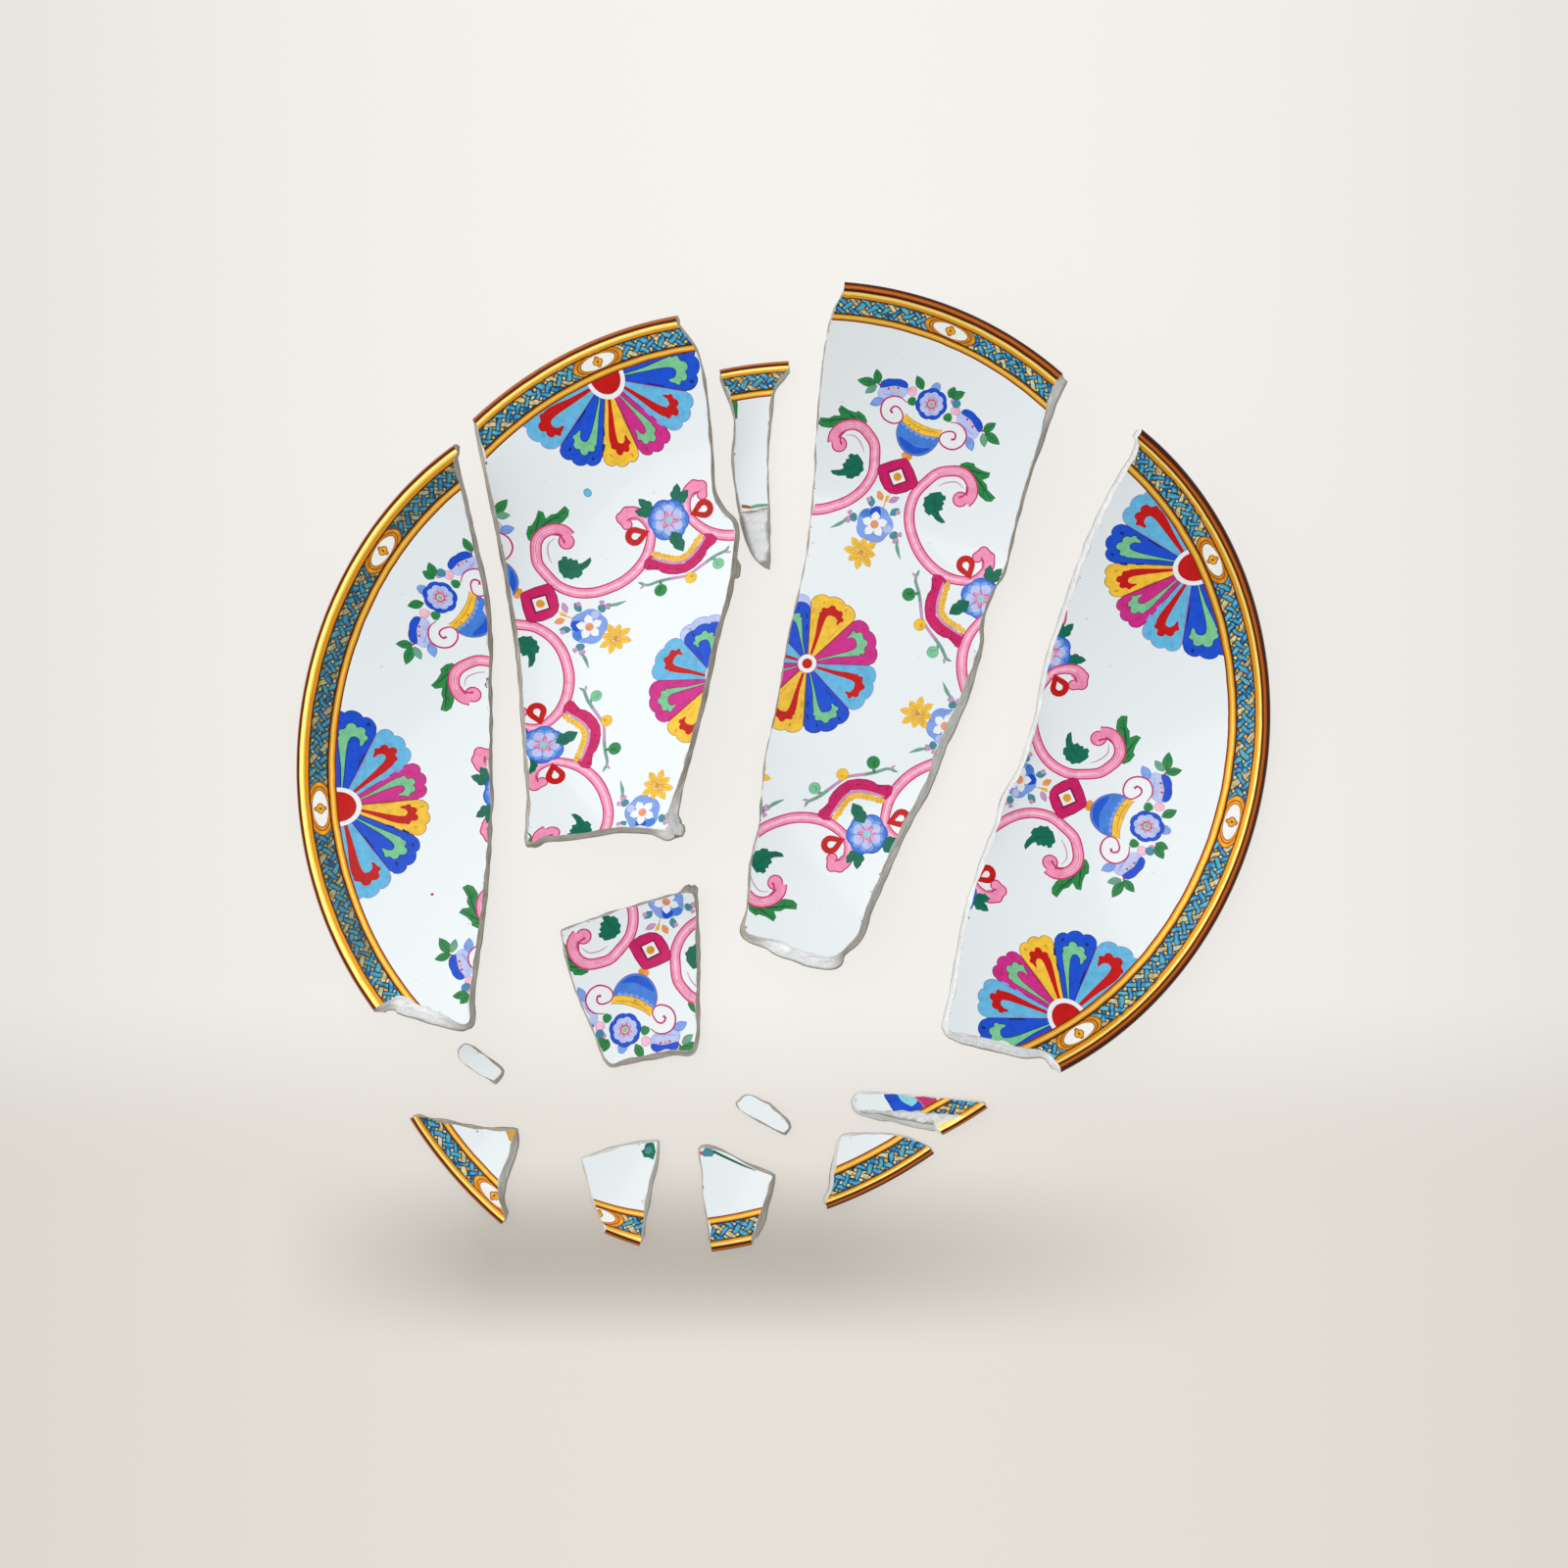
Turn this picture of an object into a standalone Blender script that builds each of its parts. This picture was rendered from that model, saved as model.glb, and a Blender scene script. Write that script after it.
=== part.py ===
"""A deep porcelain plate, 240 mm across, broken in thirteen loose pieces.

Every piece is cut from one plate, described in plate coordinates: x, y in the plate's own plane and
z up from the bottom of its foot, in millimetres. Each piece is then laid down as it comes to rest:
turned by its heading, leant until it finds its balance, and set on the floor at z = 0.
"""
import math

import bpy
import numpy as np
from mathutils.geometry import delaunay_2d_cdt

for old in list(bpy.data.objects):
    bpy.data.objects.remove(old, do_unlink=True)

# ---- the plate
RIM_R = 120.0          # outermost radius
WELL_R = 52.0          # flat well, then the wall starts to rise
WELL_Z = 8.5           # height of the well above the floor
RISE = 36.0            # rise from the well to the rim
CURVE = 1.35           # how late the wall steepens
WALL = 4.2             # thickness of the body
FOOT_IN, FOOT_OUT = 42.6, 47.0     # flat ring the plate stands on
FOOT_DRAFT = 1.0       # how far the sides of the foot slope
ROW = 6.0              # spacing of the mesh
MM = 0.001


def upper(r):
    """Height of the glazed face at radius r."""
    return WELL_Z + RISE * (np.clip(r - WELL_R, 0, None) / (RIM_R - WELL_R)) ** CURVE


def slope(r):
    return RISE * CURVE / (RIM_R - WELL_R) * (np.clip(r - WELL_R, 0, None) / (RIM_R - WELL_R)) ** (CURVE - 1)


def under(r, thick):
    """Height of the underside: the body's thickness below, with the foot ring standing down to zero."""
    base = upper(r) - thick * np.sqrt(1 + slope(r) ** 2)
    if thick < WALL:
        return base
    rise = np.clip(np.maximum(FOOT_IN - r, r - FOOT_OUT) / FOOT_DRAFT, 0, 1)
    return base * rise


# ---- the pieces
# heading: turn about z. lean, toward: how far it tips, and to which side of the plate.
# at: where the plate's own centre would lie. rim: the two ends of its lip, in degrees.
# edge: the break, run by run, anticlockwise from the second end of the rim. Each point is
# (x, y, ledge), and ledge is how far the break shows past the glaze, from above as it lies.
# spall: glaze flaked off past a line: a point on it, the way it goes, its reach and its depth.
PIECES = {
    "left_rim_shard": dict(
        heading=7, lean=30, toward=170.5, at=(-33.2, 0.2), rim=(113.5, 214.5),
        edge=[[(-94, -65, 3), (-91, -64, 5), (-87, -66, 5), (-78, -71, 4), (-70, -75, 2)],
              [(-70, -67, 1.3), (-70, -56, 1.5), (-69, -43, 1.5), (-68, -29, 1.5), (-65, -4, 1), (-64, 9, 1),
               (-60, 34, 1), (-57.5, 46, 1.3), (-54.5, 63, 1.5), (-53, 77, 1.3), (-51, 91, 1), (-49, 104, 1)]]),
    "upper_left_shard": dict(
        heading=21, lean=25, toward=115.5, at=(-14.4, 20.5), rim=(75.5, 112),
        edge=[[(-46, 100, 1.3), (-49, 87, 1.5), (-52, 74, 1.5), (-55, 61, 1.5), (-60, 40, 1.5), (-66, 18, 1.3),
               (-69, 5, 1.3), (-72, -9, 1.3), (-76, -23, 1.3)],
              [(-71, -23, 2), (-62, -25, 2), (-49, -27, 2), (-40, -31, 2), (-34, -34, 4)],
              [(-33, -30, 4), (-25, -20, 2), (-18, -10, 1.6), (-9, 4, 1.6), (-2, 16, 1.6), (5, 27, 1.6), (11, 36, 1.6),
               (16, 47, 1.6), (19, 54, 1.6), (17, 60, 1.6), (17, 67, 1.3), (22, 78, 0.8), (27, 90, 0.8), (31, 103, 0.8)]]),
    "sliver_shard": dict(
        heading=20, lean=31.5, toward=78.5, at=(5.3, 7.6), rim=(71.5, 82.3),
        edge=[[(16, 107, 0.8), (15, 101, 0.8), (11, 93, 0.8), (9, 84, 0.8), (7, 74, 0.5), (7, 68, 0.5), (9, 63, 0.3)],
              [(11, 61, 0.3), (15, 72, 0.5), (19, 84, 0.6), (22, 92, 0.6), (26, 100, 1), (30, 107, 1.2)]],
        spall=[((13, 78), (-0.2, -1), 17, 3.2)]),
    "centre_shard": dict(
        heading=22.5, lean=0, toward=0, at=(10.5, 36.3), rim=(26.3, 63.2),
        edge=[[(46, 98, 0.4), (41, 91, 0.4), (30, 71, 0.4), (23, 56, 0.4), (13, 37, 0.4), (7, 27, 0.4), (-3, 13, 0.4),
               (-9, 4, 0.4), (-17, -9, 0.4), (-28, -25, 0.4), (-37, -42, 0.4), (-45, -54, 0.6), (-51, -66, 1), (-55, -74, 2)],
              [(-48, -79, 4.5), (-42, -85, 4.5), (-37, -89, 4.5), (-32, -92, 4)],
              [(-28, -91, 2), (-22, -88, 2.2), (-16, -81, 2.4), (-10, -75, 2.6), (-5, -70, 2.6), (4, -62, 2.5),
               (16, -52, 2.8), (24, -43, 3), (37, -31, 3), (49, -18, 1.6), (53, -11, 1), (60, -3, 1), (66, 2, 1),
               (74, 13, 1), (85, 27, 1.2), (93, 37, 2), (100, 47, 3.5)]]),
    "right_rim_shard": dict(
        heading=29, lean=27.5, toward=-43, at=(31.6, 14.6), rim=(-96, 25.5),
        edge=[[(104, 45, 1), (96, 36, 1.3), (87, 26, 1.5), (79, 16, 1.5), (66, 0, 1.5), (59, -8, 1.5), (47, -24, 1.5),
               (41, -30, 1.5), (33, -37, 1.5), (24, -42, 1.5), (17, -49, 1.5), (9, -55, 1.5), (-7, -67, 1.5),
               (-15, -74, 1.5), (-25, -82, 1.5), (-35, -89, 1.5)],
              [(-36, -91, 2), (-30, -96, 3.5), (-19, -106, 3.5), (-13, -111, 2.5)]]),
    "lower_body_shard": dict(
        heading=27.5, lean=25.5, toward=-135, at=(-24.2, 3.5),
        edge=[[(-68, -28, 0.6), (-71, -39, 0.6), (-72, -49, 0.6), (-72, -59, 0.6), (-72, -70, 1)],
              [(-67, -72, 2), (-61, -74, 2), (-52, -77, 2), (-46, -79, 1.5)],
              [(-39, -66, 1.2), (-32, -52, 1.2), (-26, -39, 1)],
              [(-27, -36, 0.5), (-38, -34, 0.5), (-52, -31, 0.5)]]),
    "rim_shard_a": dict(
        heading=3, lean=34.5, toward=-142, at=(-15.2, -51.9), rim=(207, 228.8),
        edge=[[(-79, -82, 1.8), (-79.5, -78, 2.6), (-79, -74.5, 2.8), (-77.5, -70, 2.8), (-76.5, -66, 2.5)],
              [(-75.5, -62, 1.2), (-81.5, -61, 0.9), (-89, -59, 1), (-94, -57, 1), (-100.5, -54.5, 0.8)]]),
    "rim_shard_b": dict(
        heading=20, lean=33.5, toward=-133, at=(-10.5, -37.5), rim=(227.2, 233),
        edge=[[(-69, -89.5, 1.2), (-67, -85, 1.5), (-64, -79.5, 1.5), (-60, -73.5, 1.2)],
              [(-58, -69, 0.8), (-66, -66.5, 0.8), (-74.5, -65, 0.8)],
              [(-81, -64, 0.5), (-81, -76, 0.4), (-80.5, -81, 0.4), (-80, -84.5, 0.4)]]),
    "rim_shard_c": dict(
        heading=36.5, lean=33.5, toward=-115.5, at=(-37.5, -34.7), rim=(240, 246.4),
        edge=[[(-42.5, -105, 2), (-38.5, -102.5, 2.2), (-34.5, -100, 2)],
              [(-30.5, -97.5, 1.2), (-35, -91, 0.8), (-39.5, -84, 0.8)],
              [(-42.5, -79.5, 0.6), (-45, -78.5, 0.6)], [(-48, -83.5, 0.4), (-51.5, -89, 0.4), (-54.5, -94.5, 0.4)]]),
    "rim_shard_d": dict(
        heading=34.2, lean=34, toward=-98, at=(-6.1, -10.8), rim=(263.8, 272),
        edge=[[(-3.5, -111.5, 0.3), (-12, -106, 0.3), (-20.5, -100, 0.3), (-25, -97, 0.5), (-28.5, -95, 1)],
              [(-31, -96, 1), (-31, -99, 1), (-25.5, -105, 0.8), (-20, -110, 1)]],
        spall=[((-15, -109), (-0.55, -0.85), 6, 2.6)]),
    "rim_shard_e": dict(
        heading=52.2, lean=34.5, toward=-114.5, at=(-24.3, -26.6), rim=(235.8, 254.6),
        edge=[[(-32, -109, 0.4), (-35.5, -102.5, 0.4), (-41, -96, 0.5)],
              [(-46.5, -90.5, 0.8), (-49, -91, 1.2), (-53.5, -93, 1.5), (-57.5, -94.5, 1.5), (-61, -96, 1.2)]]),
    "chip_a": dict(
        heading=0, lean=0, toward=0, at=(-98, -95.5), thick=2.6,
        edge=[[(-7, 4, 0.5), (-6.6, 1.3, 0.3), (-3, -1.7, 0.3), (3.3, -5.5, 0.3)],
              [(4.5, -6, 1), (6, -4.5, 1), (6.8, -2.8, 1)], [(6, -1.5, 0.8), (0, 3, 0.6), (-4.5, 5.8, 0.3)]]),
    "chip_b": dict(
        heading=0, lean=0, toward=0, at=(-7, -112), thick=2.8,
        edge=[[(-8, 3.5, 0.6), (-7.4, 2, 0.5), (-5, 0.2, 0.4), (5.2, -5.6, 0.5)],
              [(7.2, -6, 1), (8.4, -3.4, 1)], [(2.2, 3, 0.5), (-4.5, 6, 0.4)]]),
}


def through(run, step):
    """A smooth line through a run of points, sampled about every step."""
    p = np.array(run, float)
    if len(p) < 3:
        n = max(1, round(float(np.hypot(*(p[-1] - p[0])[:2])) / step)) if len(p) > 1 else 1
        return [p[0] + (p[-1] - p[0]) * k / n for k in range(n)] + [p[-1]] if len(p) > 1 else [p[0]]
    ends = np.vstack([2 * p[0] - p[1], p, 2 * p[-1] - p[-2]])
    line = []
    for a, b, c, d in zip(ends, ends[1:], ends[2:], ends[3:]):
        n = max(1, round(float(np.hypot(*(c - b)[:2])) / step))
        for t in np.arange(n) / n:
            line.append(0.5 * (2 * b + (c - a) * t + (2 * a - 5 * b + 4 * c - d) * t * t
                               + (3 * b - a - 3 * c + d) * t ** 3))
    return line + [p[-1]]


def lay(piece):
    """The rotation that turns a piece to its heading and tips it to the side it leans."""
    a, b, h = (math.radians(piece[k]) for k in ("toward", "lean", "heading"))
    k = np.array([-math.sin(a), math.cos(a), 0.0])
    cross = np.array([[0, -k[2], k[1]], [k[2], 0, -k[0]], [-k[1], k[0], 0]])
    tip = np.eye(3) + math.sin(b) * cross + (1 - math.cos(b)) * cross @ cross
    return np.array([[math.cos(h), -math.sin(h), 0], [math.sin(h), math.cos(h), 0], [0, 0, 1]]) @ tip


def spalled(xy, z, piece):
    for (px, py), (dx, dy), reach, deep in piece.get("spall", []):
        far = ((xy[:, 0] - px) * dx + (xy[:, 1] - py) * dy) / math.hypot(dx, dy)
        z = z - deep * np.sin(np.clip(far / reach, 0, 1) * math.pi / 2)
    return z


def outline(piece, step):
    """Glaze edge, underside edge and whether each point is on the lip, anticlockwise."""
    thick = piece.get("thick", WALL)
    half = thick / 2
    lip_r = RIM_R - half
    s = float(slope(lip_r))
    lip = half / math.sqrt(1 + s * s)              # half the lip's height
    start = lip_r - lip * s                        # radius where the glaze turns over the lip
    pts, on_lip = [], []
    if "rim" in piece:
        a, b = (math.radians(v) for v in piece["rim"])
        n = max(3, round((b - a) * RIM_R / step))
        for t in np.linspace(a, b, n + 1):
            pts.append((start * math.cos(t), start * math.sin(t), 0.0))
            on_lip.append(True)
        first = pts[-1]
        last = pts[0]
    else:
        first = last = None
    runs = [list(run) for run in piece["edge"]]
    # each run joins on to the next one, and to the rim
    for k, run in enumerate(runs):
        if k + 1 < len(runs):
            run.append(runs[k + 1][0])
        elif last is None:
            run.append(runs[0][0])
    if first is not None:
        runs[0].insert(0, (first[0], first[1], runs[0][0][2]))
        runs[-1].append((last[0], last[1], runs[-1][-1][2]))
    for k, run in enumerate(runs):
        line = through(run, step)
        line = line[1:] if first is not None or k else line
        pts += [tuple(p) for p in line]
        on_lip += [False] * len(line)
    pts.pop()
    on_lip.pop()
    pts = np.array(pts)
    on_lip = np.array(on_lip)
    xy, ledge = pts[:, :2], pts[:, 2]
    r = np.hypot(*xy.T)
    keep = on_lip | (r < start - 0.5)
    xy, ledge, on_lip, r = xy[keep], ledge[keep], on_lip[keep], r[keep]
    # outward side of each point, in the plate's plane
    ahead = np.roll(xy, -1, 0) - xy
    ahead /= np.hypot(*ahead.T)[:, None]
    both = ahead + np.roll(ahead, 1, 0)
    out = np.c_[both[:, 1], -both[:, 0]]
    out /= np.maximum(np.hypot(*out.T), 1e-6)[:, None]
    sl = slope(r)
    radial = xy / np.maximum(r, 1e-6)[:, None]
    down = np.c_[radial * sl[:, None], -np.ones(len(r))] / np.sqrt(1 + sl ** 2)[:, None]
    side = np.c_[out, np.sum(out * radial, 1) * sl]
    side /= np.linalg.norm(side, axis=1)[:, None]
    turn = lay(piece)
    seen = (down * thick) @ turn[:2].T
    way = side @ turn[:2].T
    size = np.maximum(np.hypot(*way.T), 1e-6)
    shows = np.sum(seen * way, 1) / size
    push = np.clip((ledge - shows) / size, -2.5, 7)
    low = xy + (down * thick + side * push[:, None])[:, :2]
    lr = lip_r + lip * s
    low = np.where(on_lip[:, None], radial * lr, low)
    lowr = np.hypot(*low.T)
    low = np.where((~on_lip & (lowr > lr))[:, None], low * (lr / np.maximum(lowr, 1e-6))[:, None], low)
    return xy, low, on_lip


def ring_cuts(xy, low, on_lip):
    """Extra points where the underside's edge crosses the edges of the foot ring."""
    radii = (FOOT_IN - FOOT_DRAFT, FOOT_IN, FOOT_OUT, FOOT_OUT + FOOT_DRAFT)
    top, bot, lips = [], [], []
    n = len(xy)
    for i in range(n):
        j = (i + 1) % n
        top.append(xy[i]); bot.append(low[i]); lips.append(on_lip[i])
        a, b = low[i], low[j]
        hits = []
        for radius in radii:
            d = b - a
            qa, qb, qc = d @ d, 2 * a @ d, a @ a - radius * radius
            disc = qb * qb - 4 * qa * qc
            if disc > 0:
                hits += [t for t in ((-qb - disc ** 0.5) / (2 * qa), (-qb + disc ** 0.5) / (2 * qa)) if 0.04 < t < 0.96]
        for t in sorted(hits):
            top.append(xy[i] + (xy[j] - xy[i]) * t); bot.append(a + (b - a) * t); lips.append(False)
    return np.array(top), np.array(bot), np.array(lips)


def gap_to(loop, p):
    """Distance from each of p to the closed line loop."""
    a, b = loop, np.roll(loop, -1, 0)
    d = b - a
    t = np.clip(np.einsum("pij,ij->pi", p[:, None] - a[None], d) / np.sum(d * d, 1), 0, 1)
    return np.min(np.linalg.norm(p[:, None] - a[None] - t[..., None] * d[None], axis=2), axis=1)


def inside(loop, p):
    x, y = p[:, 0:1], p[:, 1:2]
    x0, y0 = loop[:, 0], loop[:, 1]
    x1, y1 = np.roll(x0, -1), np.roll(y0, -1)
    over = ((y0 > y) != (y1 > y)) & (x < (x1 - x0) * (y - y0) / np.where(y1 == y0, 1e-12, y1 - y0) + x0)
    return over.sum(1) % 2 == 1


def fill(loop, step, foot):
    """Points of the loop, then points inside it, and the triangles between them."""
    rings = [(r, step) for r in np.arange(step / 2, RIM_R, step) if not (foot and 41 < r < 53)]
    if foot:
        rings += [(r, 3.5) for r in (FOOT_IN - FOOT_DRAFT, FOOT_IN, FOOT_OUT, FOOT_OUT + FOOT_DRAFT)]
    found = []
    for k, (r, gap) in enumerate(rings):
        n = max(6, round(2 * math.pi * r / gap))
        t = (np.arange(n) + (0.5 if k % 2 and gap == step else 0)) * 2 * math.pi / n
        p = np.c_[r * np.cos(t), r * np.sin(t)]
        near = gap_to(loop, p)
        found.append(p[inside(loop, p) & (near > (0.35 * step if gap == step else 0.5))])
    p = np.vstack([loop] + found)
    n = len(loop)
    made, _, tris, source, _, _ = delaunay_2d_cdt([tuple(q) for q in p], [], [list(range(n))], 1, 1e-5)
    if len(made) != len(p):
        raise RuntimeError("outline crosses itself: %d points became %d" % (len(p), len(made)))
    index = [s[0] for s in source]
    return p, [tuple(index[v] for v in tri) for tri in tris]


def build(name, piece):
    thick = piece.get("thick", WALL)
    xy, low, on_lip = ring_cuts(*outline(piece, ROW * (0.35 if "thick" in piece else 0.75)))
    n = len(xy)
    step = ROW * (0.5 if "thick" in piece else 1)
    tp, tt = fill(xy, step, False)
    bp, bt = fill(low, step, "thick" not in piece)
    top = np.c_[tp, spalled(tp, upper(np.hypot(*tp.T)), piece)]
    bot = np.c_[bp, under(np.hypot(*bp.T), thick)]
    # the side: the lip is rounded, a break runs straight from one edge to the other
    half = thick / 2
    lip_r = RIM_R - half
    s = float(slope(lip_r))
    u = np.array([1, s]) / math.hypot(1, s)
    mid = np.array([lip_r, float(upper(lip_r - half * u[1])) - half * u[0]])
    rows = []
    for k in (1, 2, 3):
        f = k / 4
        row = top[:n] + (bot[:n] - top[:n]) * f
        a = math.pi * f
        rz = mid + half * (math.cos(a) * np.array([-u[1], u[0]]) + math.sin(a) * u)
        radial = xy / np.maximum(np.hypot(*xy.T), 1e-6)[:, None]
        row[on_lip] = np.c_[radial * rz[0], np.full(n, rz[1])][on_lip]
        rows.append(row)
    verts = np.vstack([top] + rows + [bot])
    first = len(top)
    base = first + 3 * n
    level = [list(range(n))] + [list(range(first + k * n, first + (k + 1) * n)) for k in range(3)] + [list(range(base, base + n))]
    faces = [t for t in tt] + [tuple(base + v for v in reversed(t)) for t in bt]
    for hi, lo in zip(level, level[1:]):
        for i in range(n):
            j = (i + 1) % n
            faces += [(hi[i], lo[i], lo[j]), (hi[i], lo[j], hi[j])]
    placed = verts @ lay(piece).T
    placed += (*piece["at"], -placed[:, 2].min())
    mesh = bpy.data.meshes.new(name)
    mesh.from_pydata((placed * MM).tolist(), [], faces)
    mesh.validate()
    mesh.update()
    obj = bpy.data.objects.new(name, mesh)
    bpy.context.scene.collection.objects.link(obj)
    mesh.materials.append(glaze)
    near_foot = np.abs(np.hypot(*verts[:, :2].T) - (FOOT_IN + FOOT_OUT) / 2) < 5
    for face in mesh.polygons:
        low_face = len(tt) <= face.index < len(tt) + len(bt)
        face.use_smooth = face.index < len(tt) or (low_face and not any(near_foot[v] for v in face.vertices))
    return obj


glaze = bpy.data.materials.new("porcelain")
glaze.use_nodes = True
shader = glaze.node_tree.nodes["Principled BSDF"]
shader.inputs["Base Color"].default_value = (0.80, 0.83, 0.85, 1)
shader.inputs["Roughness"].default_value = 0.15

made = [build(name, piece) for name, piece in PIECES.items()]

# the origin is the middle of the whole, at floor height
corners = np.array([tuple(v.co) for obj in made for v in obj.data.vertices])
shift = -(corners.min(0) + corners.max(0)) / 2
for obj in made:
    for v in obj.data.vertices:
        v.co.x += shift[0]
        v.co.y += shift[1]
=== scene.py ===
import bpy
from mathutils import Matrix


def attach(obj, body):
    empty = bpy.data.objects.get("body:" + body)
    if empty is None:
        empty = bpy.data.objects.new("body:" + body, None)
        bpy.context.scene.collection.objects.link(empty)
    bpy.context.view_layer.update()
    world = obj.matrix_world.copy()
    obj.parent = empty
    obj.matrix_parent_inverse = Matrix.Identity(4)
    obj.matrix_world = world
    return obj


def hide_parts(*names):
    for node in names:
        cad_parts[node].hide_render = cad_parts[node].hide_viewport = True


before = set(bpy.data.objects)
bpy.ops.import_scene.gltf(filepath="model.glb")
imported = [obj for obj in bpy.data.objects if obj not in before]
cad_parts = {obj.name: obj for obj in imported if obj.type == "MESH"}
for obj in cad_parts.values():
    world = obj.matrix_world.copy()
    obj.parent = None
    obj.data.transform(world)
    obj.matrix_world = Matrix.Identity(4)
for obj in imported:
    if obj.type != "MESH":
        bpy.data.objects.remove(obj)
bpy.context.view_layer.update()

import math

import bpy
import numpy as np
from mathutils import Vector
from mathutils.geometry import delaunay_2d_cdt


# ---- The table top, the light and the camera
# A pale matt board with the pieces lying loose on it, seen from straight above through a long lens.
# One very wide soft light comes from the upper left, and a pale room fills the shadows.
def srgb(*swatch):
    """A colour as a painter's swatch gives it, 0 to 255, made linear."""
    return tuple(c / 12.92 if c <= 0.04045 else ((c + 0.055) / 1.055) ** 2.4 for c in (v / 255 for v in swatch))


class Field:
    """A value that changes over a surface, so that shader maths reads as ordinary sums."""
    tree = None

    def __init__(self, socket):
        self.socket = socket

    @classmethod
    def node(cls, kind, settings=(), out=0, **sockets):
        made = cls.tree.nodes.new(kind)
        for key, value in dict(settings).items():
            if key == "stops":
                ramp = made.color_ramp
                while len(ramp.elements) < len(value):
                    ramp.elements.new(0.5)
                for stop, (at, colour) in zip(ramp.elements, value):
                    stop.position, stop.color = at, (*colour, 1)
            else:
                setattr(made, key, value)
        for key, value in sockets.items():
            cls.put(made.inputs[int(key[1:]) if key[1:].isdigit() else key.replace("_", " ")], value)
        return cls(made.outputs[out])

    @classmethod
    def put(cls, entry, value):
        if isinstance(value, Field):
            cls.tree.links.new(value.socket, entry)
        elif isinstance(value, tuple):
            entry.default_value = (*srgb(*value), 1)
        else:
            entry.default_value = value

    def sum(self, how, other=0.0, third=0.0):
        return Field.node("ShaderNodeMath", {"operation": how}, i0=self, i1=other, i2=third)

    def __add__(self, o): return self.sum("ADD", o)
    def __radd__(self, o): return self.sum("ADD", o)
    def __mul__(self, o): return self.sum("MULTIPLY", o)
    def __rmul__(self, o): return self.sum("MULTIPLY", o)
    def __sub__(self, o): return self.sum("SUBTRACT", o)
    def __rsub__(self, o): return Field.sum(o, "SUBTRACT", self)
    def __truediv__(self, o): return self.sum("DIVIDE", o)
    def __abs__(self): return self.sum("ABSOLUTE")

    def above(self, edge, soft):
        """0 below the edge and 1 above it, over a soft width."""
        return Field.node("ShaderNodeMapRange", Value=self, From_Min=edge - soft, From_Max=edge + soft)

    def between(self, low, high, soft):
        return self.above(low, soft) * (1 - self.above(high, soft))

    def tint(self, under, over):
        """The colour over laid on the colour under, as far as this mask says."""
        return Field.node("ShaderNodeMix", {"data_type": "RGBA"}, out=2, i0=self, i6=under, i7=over)

    def ramp(self, *stops):
        """The colour at this value, between stops that each give a place and a swatch."""
        return Field.node("ShaderNodeValToRGB", {"stops": [(at, srgb(*c)) for at, *c in stops]}, Fac=self)

    def parts(self):
        return [Field(o) for o in Field.node("ShaderNodeSeparateXYZ", i0=self).socket.node.outputs]


def finish_of(name):
    """A new material, and its shader."""
    made = bpy.data.materials.new(name)
    made.use_nodes = True
    Field.tree = made.node_tree
    return made, made.node_tree.nodes["Principled BSDF"]


def put(shader, **values):
    for key, value in values.items():
        Field.put(shader.inputs[key.replace("_", " ")], value)


def bump(strength, distance, height):
    return Field.node("ShaderNodeBump", Strength=strength, Distance=distance, Height=height)


def set_down(name, data):
    made = bpy.data.objects.new(name, data)
    bpy.context.scene.collection.objects.link(made)
    return made


# six metres across, and a hair under the pieces
board_mesh = bpy.data.meshes.new("board")
board_mesh.from_pydata([(x, y, -0.0003) for x, y in ((-3, -3), (3, -3), (3, 3), (-3, 3))], [], [(0, 1, 2, 3)])
board = set_down("board", board_mesh)
board_finish, shader = finish_of("pale_board")
spot = Field.node("ShaderNodeTexCoord", out=3)
bx, by, _ = spot.parts()
# painted shade: the board is darker towards the bottom and towards both sides, as the light falls off there
pale = (by * 2 + 0.5).ramp((0.24, 231, 226, 218), (0.28, 234, 230, 223), (0.35, 248, 245, 240), (1.0, 248, 245, 240))
pale = (bx * bx * 5.5).sum("MINIMUM", 0.4).tint(pale, (206, 202, 195))
# a painted shadow: a soft dark stretch on the board in front of the small pieces, as if they cast it
low = (by + 0.157) * 30
low = (1 - low * low).sum("MAXIMUM", 0.0)
pale = (low * low * bx.above(-0.13, 0.035) * (1 - bx.above(0.08, 0.07)) * 0.85).tint(pale, (182, 174, 164))
fibre = Field.node("ShaderNodeTexNoise", Vector=spot, Scale=900.0, Detail=2.0)
pale = (fibre * 0.04).tint(pale, (225, 220, 212))
# the board glows faintly to the eye, so that the shadows on it stay light
way = [Field.node("ShaderNodeLightPath", out=k) for k in (0, 3, 6)]
seen = (way[0] + way[1] + way[2]).sum("MINIMUM", 1.0)
put(shader, Base_Color=(seen * 0.84).tint(pale, (0, 0, 0)), Emission_Color=seen.tint((0, 0, 0), pale),
    Emission_Strength=0.83, Roughness=0.9, Specular_IOR_Level=0.05, Normal=bump(0.15, 0.0001, fibre))
board_mesh.materials.append(board_finish)

world = bpy.data.worlds.new("pale_room")
bpy.context.scene.world = world
world.use_nodes = True
put(world.node_tree.nodes["Background"], Color=(250, 250, 249), Strength=0.6)

lamp_data = bpy.data.lights.new("soft_window", "SUN")
lamp_data.energy = 1.6
lamp_data.angle = math.radians(80)
lamp = set_down("soft_window", lamp_data)
lamp.rotation_euler = Vector((0.55, -0.33, -0.766)).to_track_quat("-Z", "Y").to_euler()

camera_data = bpy.data.cameras.new("camera")
camera_data.lens = 400
camera_data.clip_end = 20
camera = set_down("camera", camera_data)
camera.location = (0.00025, -0.005, 5.636)
bpy.context.scene.camera = camera
bpy.context.scene.view_settings.view_transform = "Standard"


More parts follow.
